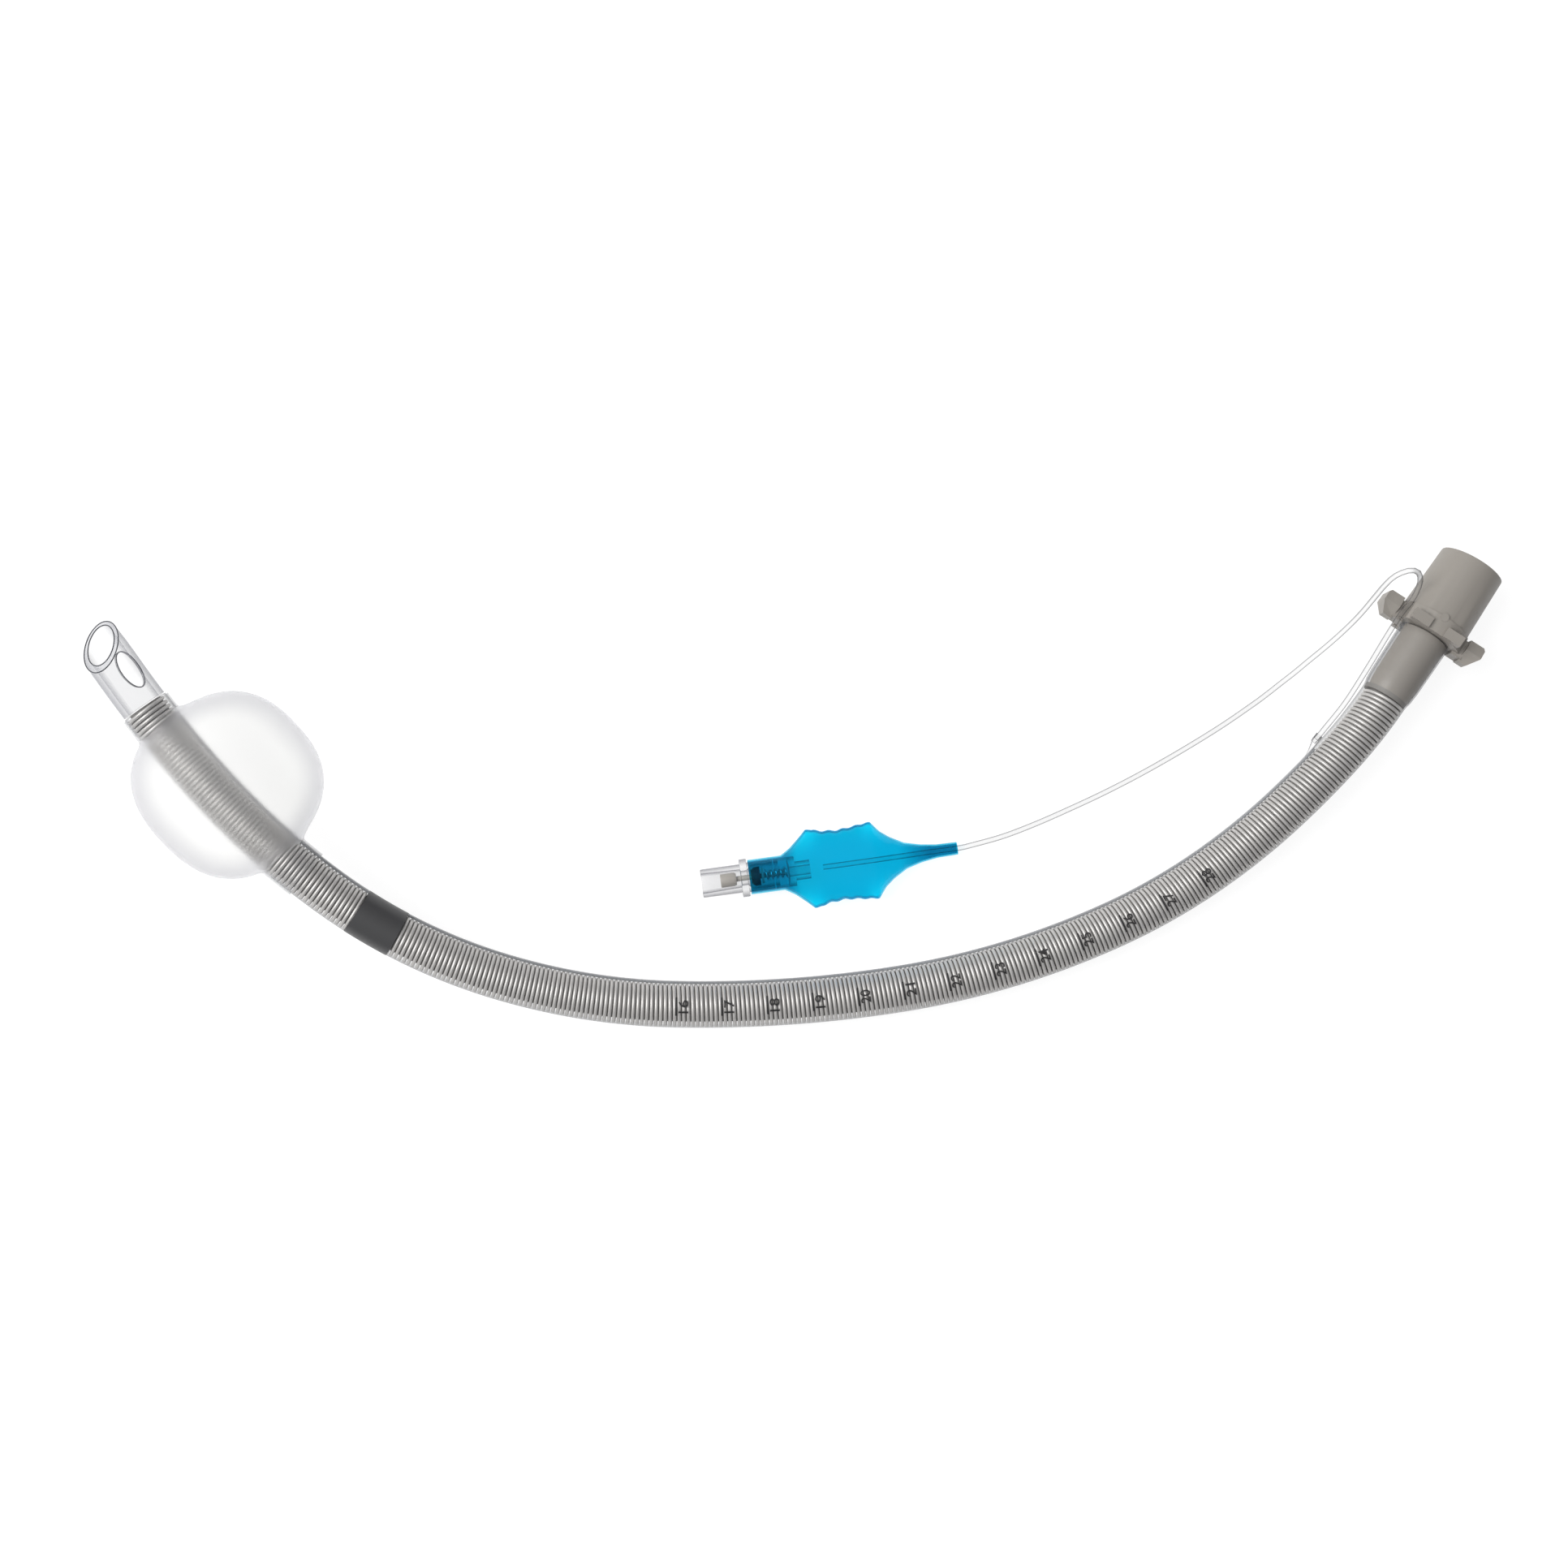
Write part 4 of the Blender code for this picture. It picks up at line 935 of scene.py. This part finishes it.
def sharp_loops(mesh, last_s):
    """The closed chains of sharp edges on a cut mesh, up to a distance along the tube."""
    bm = bmesh.new()
    bm.from_mesh(mesh)
    bmesh.ops.remove_doubles(bm, verts=bm.verts, dist=MERGE_DISTANCE * MM)
    bm.verts.index_update()
    end, _, _, forward = tube_frame(last_s)
    follows = {}
    for edge in bm.edges:
        near = (edge.verts[0].co / MM - end).dot(forward) < 0
        if near and len(edge.link_faces) == 2 and edge.calc_face_angle() > math.radians(SHARP_ANGLE):
            a, b = edge.verts
            follows.setdefault(a.index, []).append(b.index)
            follows.setdefault(b.index, []).append(a.index)
    bm.verts.ensure_lookup_table()
    places = {i: bm.verts[i].co.copy() for i in follows}
    bm.free()
    loops, left = [], set(follows)
    while left:
        here = min(left)
        loop = []
        while here is not None:
            left.discard(here)
            loop.append(places[here])
            here = next((n for n in follows[here] if n in left), None)
        loops.append(loop)
    return loops


def even_loop(loop):
    """Evenly spaced points on a closed chain."""
    points = loop + [loop[0]]
    length = np.r_[0, np.cumsum([(b - a).length for a, b in zip(points, points[1:])])]
    count = max(BEAD_POINTS, round(length[-1] / (BEAD_STEP * MM)))
    table = np.array(points)
    return [[float(np.interp(length[-1] * i / count, length, table[:, k])) for k in range(3)]
            for i in range(count)]


RIMS_END_S, SHORTEST_RIM = 12.0, 12         # where the search stops, and fewer points are no rim
rim_loops = [loop for loop in sharp_loops(tip.data, RIMS_END_S) if len(loop) >= SHORTEST_RIM]
print("rims found:", len(rim_loops))

# %% Lay a bead on each rim
RIM_BEAD, EYE_BEAD_SHARE = 0.13, 0.32       # the eye's rims are finer than the mouth's
rims = bpy.data.curves.new("rims", "CURVE")
rims.dimensions, rims.bevel_depth, rims.bevel_resolution = "3D", RIM_BEAD * MM, 2
for loop in rim_loops:
    points = even_loop(loop)
    middle = sum((Vector(p) for p in points), Vector()) / len(points) / MM
    share = EYE_BEAD_SHARE if (middle - centre).length < EYE_SIZE[1] / 2 else 1.0
    spline = rims.splines.new("POLY")
    spline.points.add(len(points) - 1)
    for point, place in zip(spline.points, points):
        point.co, point.radius = (*place, 1.0), share
    spline.use_cyclic_u = True
beads = bpy.data.objects.new("rims", rims)
bpy.context.scene.collection.objects.link(beads)
bead_mesh = evaluated_mesh(beads)
bm = bmesh.new()
bm.from_mesh(tip.data)
own_faces = len(bm.faces)
bm.from_mesh(bead_mesh)
bm.faces.ensure_lookup_table()
# the beads carry the rims' painted shade
rim_slot = len(tip.data.materials)
tip.data.materials.append(rim_painted_shade)
for face in bm.faces[own_faces:]:
    face.material_index = rim_slot
bm.to_mesh(tip.data)
bm.free()
bpy.data.objects.remove(beads, do_unlink=True)
smooth_up_to(tip, 40)
print("tip:", len(tip.data.polygons), "faces with its", len(rim_loops), "beads")

# %% [markdown]
# ## The cuff
#
# The cuff is a film balloon, glued to the tube by a collar at each end and blown up off-centre,
# towards the inside of the bend. It is not quite a ball: from above it is a little squarer than a
# circle, and it flows into its collars. Sculpting would do, but a formula keeps the size: for each
# distance along and each angle it says how far the film is from the tube's axis. The film is
# frosted: it blurs the coil behind it. The glue wets the collars, so they are clear and have a
# finish of their own.

# %% Blow up the cuff
CUFF_S, CUFF_OFFSET, CUFF_FILM = 38.5, 3.4, 0.25
CUFF_WIDE, CUFF_HIGH, CUFF_LONG = 18.65, 19.8, 19.2     # half sizes across, up and along
CUFF_SQUARENESS = 2.45          # 2 would be round
COLLAR_RADIUS = TUBE_RADIUS + SLIP_GAP + CUFF_FILM
COLLAR_FRONT_S, COLLAR_REAR_S = JOINT_S + 0.3, 64.0
CUFF_STEP, CUFF_SIDES = 0.45, 112
CUFF_SMOOTHING = 0.6            # mm along the tube, for the run into the collars
GLUE_MARGIN = 0.3               # mm from the film's bulge to the glued part of a collar


def cuff_radius(s, angle):
    """How far the film is from the tube's axis: an ellipse that is set off to one side."""
    along = abs(s - CUFF_S) / CUFF_LONG
    if along >= 1:
        return COLLAR_RADIUS
    share = (1 - along ** CUFF_SQUARENESS) ** (1 / CUFF_SQUARENESS)
    x, y = math.cos(angle) / CUFF_WIDE, math.sin(angle) / CUFF_HIGH
    offset = CUFF_OFFSET / CUFF_WIDE
    a, b, c = x * x + y * y, x * offset, offset ** 2 - share ** 2
    inside = b * b - a * c
    return max(COLLAR_RADIUS, (b + math.sqrt(inside)) / a) if inside > 0 else COLLAR_RADIUS


cuff_stations = np.arange(COLLAR_FRONT_S, COLLAR_REAR_S + 0.01, CUFF_STEP)
neighbours = range(-2, 3)
weights = np.array([math.exp(-(i * CUFF_STEP / CUFF_SMOOTHING) ** 2) for i in neighbours])
cuff_rings = []
for s in cuff_stations:
    ring = []
    for angle in circle(CUFF_SIDES):
        total = sum(w * cuff_radius(s + i * CUFF_STEP, angle) for i, w in zip(neighbours, weights))
        r = float(total / weights.sum())
        ring.append(on_tube(r * math.cos(angle), r * math.sin(angle), float(s)))
    cuff_rings.append(ring)
glued = [abs(s - CUFF_S) > CUFF_LONG + GLUE_MARGIN for s in cuff_stations]
cuff = rings_to_object("cuff_frosted", cuff_rings, (cuff_film, collar_film), loop=False,
                       smooth_angle=70,
                       slot_of=lambda row, k: 1 if glued[row] and glued[row + 1] else 0)
film = cuff.modifiers.new("film", "SOLIDIFY")
film.thickness, film.offset, film.use_even_offset = CUFF_FILM * MM, -1, True
finish_modifiers(cuff)
cuff.data.shade_smooth()
print("cuff:", round(2 * CUFF_WIDE, 1), "mm across,", len(cuff.data.polygons), "faces")

# %% [markdown]
# ## The connector
#
# One moulding in warm grey plastic: the cone for the breathing circuit, a flange with four pads
# and two lugs, and the spigot in the tube. The round part is turned; the pads and lugs are bars
# that a boolean joins to it. The small disc on top is where the plastic was injected. A narrow
# bevel catches the light on every edge, as on moulded parts. It comes last, so that it also rounds
# the corners where the bars meet the round part.

# %% Set the connector's sizes and place
# A pair of sizes is (across, along), and a pair of radii goes from the first end to the other.
CONNECTOR_ROLL = -4.0           # degrees, turned a little about its own axis
BARREL_LENGTH, BARREL_RADIUS, BARREL_LIP = 14.5, (7.68, 7.25), ((0.25, 0.0), (0.05, 0.1), (0.0, 0.35))
MOUTH_RADIUS, MOUTH_LEAD, SOCKET_RADIUS, SOCKET_S = 6.1, 2.0, 5.8, 5.0
FLANGE_RADIUS, SPIGOT_BORE = 7.95, SPIGOT_RADIUS[0] - 0.75
PAD_SIZE, PAD_CENTRE, PAD_TOP, PAD_DEPTH = (4.2, 2.3), 3.9, 8.6, 2.2
LUG_NECK, LUG_HEAD, LUG_REACH = (6.2, 8.7), 8.4, 12.1
NECK_SECTION = ((-4.6, 2.3), (-0.45, 2.3))      # (along, half height)
HEAD_SECTION = ((-5.0, 1.6), (-2.3, 3.4), (0.1, 2.7))
LUG_CUTS = (((10.5, -5.0), (2.6, -1.7)), ((12.1, -0.5), (0.5, 0.4)))    # (point, direction)
NOTCH_CENTRE, NOTCH_SIZE = (7.6, 3.45), (4.0, 5.8)
NOTCH_WIDTH, NOTCH_LEAD = 2 * (LINE_RADIUS + SEAT_GAP), 0.1
EDGE_BEVEL, EDGE_ANGLE = 0.18, 35
GATE_RADIUS, GATE_ALONG, GATE_TOP = 0.9, -0.2, 8.02

heading = math.radians(CONNECTOR_HEADING)
connector_place = (Matrix.Translation(tube_frame(FLANGE_S)[0] * MM)
                   @ Matrix.Rotation(heading + math.pi / 2, 4, "Z")
                   @ Matrix.Rotation(math.pi / 2, 4, "X"))
rolled_place = connector_place @ Matrix.Rotation(math.radians(CONNECTOR_ROLL), 4, "Z")


def on_connector(x, y, along):
    """Across, up and along from the machine side of the flange."""
    return rolled_place @ (Vector((x, y, along)) * MM)


def on_notch(x, y, along):
    """The same without the roll: the notch was placed where the line goes over the flange."""
    return connector_place @ (Vector((x, y, along)) * MM)


print("connector turned", round(CONNECTOR_HEADING, 1), "degrees from the x axis")

# %% Helpers for its bars
def bar(name, corners, low, high, place):
    """A bar: an outline of (across, along) points between two heights."""
    bm = bmesh.new()
    bottom = [bm.verts.new(place(x, low, z)) for x, z in corners]
    top = [bm.verts.new(place(x, high, z)) for x, z in corners]
    bm.faces.new(bottom)
    bm.faces.new(top)
    for k in range(len(corners)):
        bm.faces.new((bottom[k - 1], bottom[k], top[k], top[k - 1]))
    return add_piece(name, bm, grey_plastic)


def lug_part(name, section, side, near, far, cuts=()):
    """A bar that runs outwards from the flange, with its corners cut off where the lug slants."""
    outline = [(-half, along) for along, half in section]
    outline += [(half, along) for along, half in reversed(section)]
    bm = bmesh.new()
    inner = [bm.verts.new((side * near, y, z)) for y, z in outline]
    outer = [bm.verts.new((side * far, y, z)) for y, z in outline]
    bm.faces.new(inner)
    bm.faces.new(outer)
    for k in range(len(outline)):
        bm.faces.new((inner[k - 1], inner[k], outer[k], outer[k - 1]))
    for point, normal in cuts:
        cut = bmesh.ops.bisect_plane(
            bm, geom=bm.verts[:] + bm.edges[:] + bm.faces[:], clear_outer=True,
            plane_co=(side * point[0], 0, point[1]), plane_no=(side * normal[0], 0, normal[1]))
        rim = [e for e in cut["geom_cut"] if isinstance(e, bmesh.types.BMEdge)]
        bmesh.ops.contextual_create(bm, geom=rim)
    for vert in bm.verts:
        vert.co = on_connector(*vert.co)
    return add_piece(name, bm, grey_plastic)


def box_corners(across, half, low, high):
    """The outline of a bar that is no more than a box: its middle, half its width and its ends."""
    return [(across - half, low), (across + half, low), (across + half, high), (across - half, high)]


print("helpers for the connector ready")

# %% Mould the connector
connector_outline = [(BARREL_RADIUS[1] - inwards, BARREL_LENGTH - back) for inwards, back in BARREL_LIP]
connector_outline += [
    (BARREL_RADIUS[0], 0.0), (FLANGE_RADIUS, 0.0),
    (FLANGE_RADIUS, -FLANGE_THICKNESS), (SPIGOT_RADIUS[1], -FLANGE_THICKNESS),
    (SPIGOT_RADIUS[0], 0.4 - SPIGOT_LENGTH), (SPIGOT_RADIUS[0] - 0.2, -SPIGOT_LENGTH),
    (SPIGOT_BORE, -SPIGOT_LENGTH), (SPIGOT_BORE + 0.25, -2.0), (SOCKET_RADIUS, SOCKET_S),
    (MOUTH_RADIUS - 0.15, BARREL_LENGTH - MOUTH_LEAD), (MOUTH_RADIUS, BARREL_LENGTH)]
connector = turned("connector_grey", connector_outline, 96, on_connector, grey_plastic)
pad_from = -FLANGE_THICKNESS - 0.05
for across in (-PAD_CENTRE, PAD_CENTRE):
    for low, high in ((PAD_TOP - PAD_DEPTH, PAD_TOP), (-PAD_TOP, PAD_DEPTH - PAD_TOP)):
        corners = box_corners(across, PAD_SIZE[0] / 2, pad_from, pad_from + PAD_SIZE[1])
        cut_or_join(connector, bar("pad", corners, low, high, on_connector), "UNION")
gate = [(GATE_RADIUS * math.cos(a), GATE_ALONG + GATE_RADIUS * math.sin(a)) for a in circle(24)]
cut_or_join(connector, bar("gate_mark", gate, PAD_TOP - PAD_DEPTH, GATE_TOP, on_connector), "UNION")
for side in (-1, 1):
    cut_or_join(connector, lug_part("neck", NECK_SECTION, side, *LUG_NECK), "UNION")
    cut_or_join(connector, lug_part("lug", HEAD_SECTION, side, LUG_HEAD, LUG_REACH, LUG_CUTS), "UNION")
x, y = NOTCH_CENTRE
notch_floor = y - LINE_RADIUS - SEAT_GAP
notch_corners = box_corners(x, NOTCH_WIDTH / 2, NOTCH_LEAD, NOTCH_LEAD - NOTCH_SIZE[1])
notch = bar("notch", notch_corners, notch_floor, notch_floor + NOTCH_SIZE[0], on_notch)
cut_or_join(connector, notch, "DIFFERENCE")
bevel = connector.modifiers.new("soft_edges", "BEVEL")
bevel.width, bevel.segments = EDGE_BEVEL * MM, 3
bevel.limit_method, bevel.angle_limit = "ANGLE", math.radians(EDGE_ANGLE)
finish_modifiers(connector)
smooth_up_to(connector, EDGE_ANGLE)
print("connector:", len(connector.data.polygons), "faces")

# %% [markdown]
# ## The pilot balloon
#
# A blue film tube, round where it is glued to the valve and to the line, and flat and wide
# between. Its section changes from a circle to a lens, and the thin welded edges ripple a little.
# A cloth simulation could blow it up from a flat outline. A loft through measured sections is
# quicker, and it keeps the outline of the photograph. Each point keeps how dense the film is
# there, and the material reads it: deep blue on the welded edges, the neck and the tail, light
# blue on the open film.

# %% Make the blue film
# A u is a distance along the valve's axis from its mouth. Stations are (u, half width, half height).
BALLOON_FILM = 0.3
NECK_U = 10.3 + SEAT_GAP
BALLOON_STATIONS = (
    (NECK_U, 3.85, 3.85), (18.0, 3.85, 3.85), (20.2, 5.2, 4.0), (22.4, 7.1, 4.1), (24.2, 8.8, 4.1),
    (27.5, 8.0, 4.2), (31.0, 7.7, 4.2), (35.0, 8.1, 4.2), (38.4, 8.6, 4.0), (40.3, 6.2, 3.6),
    (42.4, 4.6, 3.0), (45.5, 2.9, 2.4), (49.0, 2.0, 1.8), (52.5, 1.5, 1.5), (57.1, 1.4, 1.4))
THIN_BLUE, DENSE_BLUE = (0.06, 0.82, 0.97), (0.0, 0.30, 0.48)
blue_film = principled("blue_balloon_film", THIN_BLUE, 0.07, Transmission_Weight=1.0, IOR=1.18)
grain(blue_film, 260, 0.00003, (0.04, 0.12))
clear_to_light(blue_film, (0.35, 0.80, 0.95))
dense = blue_film.node_tree.nodes.new("ShaderNodeAttribute")
dense.attribute_name = "dense"
blend_colours(blue_film, THIN_BLUE, DENSE_BLUE, dense.outputs["Fac"])
OPEN_FILM = 0.30                # how dense the open film looks, next to 1 on the welds
WELD_FROM = 0.94                # the share of the half width where a weld begins
ENDS_U, ENDS_DENSITY = (18.5, 21.5, 44.0, 51.0), (0.40, 0.0, 0.0, 0.45)
CORNERS_U, CORNER_WIDTH = (24.2, 38.4), 2.2


def weld_density(u, angle, lens):
    """1 on the welded edges, little on the open film, least at the corners."""
    across = abs(math.cos(angle))
    weld = max(0.0, (across - WELD_FROM) / (1 - WELD_FROM)) * min(1.0, lens * 2)
    ends = float(np.interp(u, ENDS_U, ENDS_DENSITY))
    corner = sum(math.exp(-((u - station) / CORNER_WIDTH) ** 2) for station in CORNERS_U) * across ** 3
    return min(1.0, weld + ends + OPEN_FILM * max(0.0, 1.0 - corner))


print("blue film: from", THIN_BLUE, "to", DENSE_BLUE)

# %% Blow up the pilot balloon
BALLOON_STEP, BALLOON_SIDES = 0.465, 64
RIPPLE_FROM, RIPPLE_TO, RIPPLE_SIZE, RIPPLE_LENGTH = 25.5, 37.5, 0.14, 3.0
station_u, station_wide, station_high = zip(*BALLOON_STATIONS)
balloon_rings, film_density = [], []
for u in np.arange(NECK_U, station_u[-1] + 0.01, BALLOON_STEP):
    wide = float(np.interp(u, station_u, station_wide))
    high = float(np.interp(u, station_u, station_high))
    if RIPPLE_FROM < u < RIPPLE_TO:
        wide += RIPPLE_SIZE * math.sin((u - RIPPLE_FROM) * 2 * math.pi / RIPPLE_LENGTH)
    lens = min(1.0, wide / high - 1.0)      # 0 for a circle, 1 for a flat lens
    ring = []
    for angle in circle(BALLOON_SIDES):
        lift = high * math.copysign(abs(math.sin(angle)) ** (1 + 0.5 * lens), math.sin(angle))
        ring.append(on_valve(wide * math.cos(angle), lift - balloon_drop(u), float(u)))
        film_density.append(weld_density(u, angle, lens))
    balloon_rings.append(ring)
balloon = rings_to_object("pilot_balloon_blue", balloon_rings, blue_film, loop=False,
                          smooth_angle=60)
attribute = balloon.data.attributes.new("dense", "FLOAT", "POINT")
attribute.data.foreach_set("value", film_density)
skin = balloon.modifiers.new("film", "SOLIDIFY")
skin.thickness, skin.offset, skin.use_even_offset = BALLOON_FILM * MM, -1, True
finish_modifiers(balloon)
smooth_up_to(balloon, 60)
print("balloon:", len(balloon.data.polygons), "faces")

# %% [markdown]
# ## The check valve
#
# The clear housing takes a syringe. Inside it a beige plunger with a black seal is held shut by a
# small steel spring, and a windowed ring behind it carries the spring. All of them but the spring
# are round, so each is one outline turned round the valve's axis. The plunger and its seal ride
# on their own body, because a syringe pushes them in.

# %% Set the valve's sizes and finishes
VALVE_FLANGE, VALVE_BARREL_RADIUS, SYRINGE_BORE = (8.7, 10.3, 4.2), 3.15, (2.2, 2.05)
SEAT_HOLE, SEAT_U, VALVE_BODY_END, VALVE_BODY_RADIUS = 1.65, 10.7, 16.0, 3.3
VALVE_HOLLOW = 2.75             # radius of the room for the seal and the spring
PLUNGER_HEAD, PLUNGER_STEM, PLUNGER_END = (4.2, 7.7, 1.5), 0.6, 18.6
PLUNGER_COLLAR = 1.75           # radius of the collar that the spring pushes on
SEAL_U, SEAL_RADIUS = (11.0, 13.0), 2.1
SPRING_U, SPRING_RADIUS, SPRING_WIRE, SPRING_TURNS = (14.1, 19.2), 1.35, 0.16, 4.5
SPRING_SIDES, SPRING_STEPS = 8, 24          # points round the wire, and points in a turn
RETAINER_U, RETAINER_PLATE, RETAINER_HOLE = VALVE_BODY_END + 0.2, (19.5, 20.8), 2.0
NOZZLE = (24.1, 2.1, 1.1)       # its end, its radius and its bore
WINDOW_SIZE, WINDOW_ANGLES = (3.2, 9.0, 1.9), (45, 135)
clear_moulding = principled("clear_polycarbonate", (0.15, 0.15, 0.19), 0.10)
grain(clear_moulding, 600, 0.00001, (0.06, 0.14))
denser_edge_on(clear_moulding, 0.07, 0.85, 0.22)
beige_nylon = principled("beige_nylon", (0.50, 0.47, 0.42), 0.45)
grain(beige_nylon, 1200, 0.00001, (0.38, 0.55))
black_rubber = principled("black_rubber", (0.03, 0.028, 0.03), 0.6)
grain(black_rubber, 1500, 0.00001, (0.5, 0.7))
spring_steel = principled("spring_steel", (0.62, 0.62, 0.63), 0.25, Metallic=1.0)
grain(spring_steel, 3000, 0.000003, (0.2, 0.32))
print("finishes for the valve ready")

# %% Turn the housing, the plunger and the seal
first, last, radius = VALVE_FLANGE
housing = turned("valve_housing_clear", [
    (SYRINGE_BORE[0] + 0.1, 0.0), (VALVE_BARREL_RADIUS - 0.12, 0.0), (VALVE_BARREL_RADIUS, 0.15),
    (VALVE_BARREL_RADIUS, first), (radius - 0.1, first), (radius, first + 0.1),
    (radius, last - 0.1), (radius - 0.1, last), (VALVE_BODY_RADIUS, last),
    (VALVE_BODY_RADIUS, VALVE_BODY_END), (VALVE_HOLLOW, VALVE_BODY_END),
    (VALVE_HOLLOW, SEAT_U + 0.5), (SEAT_HOLE, SEAT_U - 0.6), (SEAT_HOLE, SEAT_U - 1.8),
    (SYRINGE_BORE[1], SEAT_U - 2.0)], 64, on_valve, clear_moulding)
first, last, radius = PLUNGER_HEAD
collar_from, collar_to = SEAL_U[1] + SEAT_GAP, SPRING_U[0] - SEAT_GAP
plunger = turned("valve_plunger_beige", [
    (0.01, first), (radius - 0.1, first), (radius, first + 0.1), (radius, last - 0.5),
    (radius - 0.25, last), (PLUNGER_STEM, last), (PLUNGER_STEM, collar_from),
    (PLUNGER_COLLAR, collar_from), (PLUNGER_COLLAR, collar_to), (PLUNGER_STEM, collar_to),
    (PLUNGER_STEM, PLUNGER_END), (0.01, PLUNGER_END)], 40, on_valve, beige_nylon)
bore = PLUNGER_STEM + SLIP_GAP
seal = turned("valve_seal_black", [
    (bore, SEAL_U[0]), (SEAL_RADIUS - 0.55, SEAL_U[0]), (SEAL_RADIUS, SEAL_U[0] + 0.8),
    (SEAL_RADIUS, SEAL_U[1]), (bore, SEAL_U[1])], 48, on_valve, black_rubber)
print("housing, plunger and seal:", [len(o.data.polygons) for o in (housing, plunger, seal)], "faces")

# %% Make the retainer and the spring
nozzle_end, nozzle_radius, nozzle_bore = NOZZLE
retainer = turned("valve_retainer_clear", [
    (VALVE_HOLLOW, RETAINER_U), (VALVE_BODY_RADIUS, RETAINER_U),
    (VALVE_BODY_RADIUS, RETAINER_PLATE[1]), (nozzle_radius, RETAINER_PLATE[1]),
    (nozzle_radius, nozzle_end), (nozzle_bore, nozzle_end), (nozzle_bore, RETAINER_PLATE[0]),
    (RETAINER_HOLE, RETAINER_PLATE[0]), (VALVE_HOLLOW, RETAINER_PLATE[0] - 0.3)],
    64, on_valve, clear_moulding)
for degrees in WINDOW_ANGLES:
    cos, sin = math.cos(math.radians(degrees)), math.sin(math.radians(degrees))
    bm = bmesh.new()
    bmesh.ops.create_cube(bm, size=1.0)
    for vert in bm.verts:
        a, b, c = (part * size for part, size in zip(vert.co, WINDOW_SIZE))
        vert.co = on_valve(cos * b - sin * a, cos * a + sin * b, RETAINER_U + WINDOW_SIZE[2] + c)
    cut_or_join(retainer, add_piece("window", bm, clear_moulding), "DIFFERENCE")
smooth_up_to(retainer, 35)
spring_steps = round(SPRING_TURNS * SPRING_STEPS)
spring_rise = SPRING_U[1] - SPRING_U[0] - 2 * SPRING_WIRE
spring_rings = []
for i in range(spring_steps + 1):
    angle = 2 * math.pi * i / SPRING_STEPS
    u = SPRING_U[0] + SPRING_WIRE + spring_rise * i / spring_steps
    ring = []
    for b in circle(SPRING_SIDES):
        r = SPRING_RADIUS + SPRING_WIRE * math.cos(b)
        ring.append(on_valve(r * math.cos(angle), r * math.sin(angle), u + SPRING_WIRE * math.sin(b)))
    spring_rings.append(ring)
spring = rings_to_object("valve_spring_steel", spring_rings, spring_steel, loop=False, caps=True)
print("retainer and spring:", [len(o.data.polygons) for o in (retainer, spring)], "faces")

# %% [markdown]
# ## Seat each piece on its body
#
# Each piece rides on a body of the imported model and takes the place of its plain solid.
# The boss, the hollow line and the print have no solid of their own.

# %% Seat the pieces on their bodies
for piece, node, finish in (
        (wall, "tube_wall", "clear_vinyl"), (coil, "reinforcing_wire", "bright_wire"),
        (tip, "bevelled_tip", "clear_tip_vinyl"), (cuff, "cuff", "frosted_film"),
        (connector, "connector", "warm_grey_plastic"), (line, "inflation_line", "clear_line_vinyl"),
        (balloon, "pilot_balloon", "blue_film"), (housing, "valve_housing", "clear_polycarbonate"),
        (retainer, "valve_retainer", "clear_polycarbonate"), (spring, "valve_spring", "spring_steel")):
    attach(piece, "tube")
    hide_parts(node)
for piece, node, finish in ((plunger, "valve_plunger", "beige_nylon"),
                            (seal, "valve_seal", "black_rubber")):
    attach(piece, "plunger")
    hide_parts(node)
for piece in (boss, lumen, band, depth_scale):
    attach(piece, "tube")
print("pieces seated: 16, of which 12 take the place of a solid")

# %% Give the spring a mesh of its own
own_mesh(spring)
tuple(on_tube(BOSS_CENTRE, 0, LINE_EXIT_S))
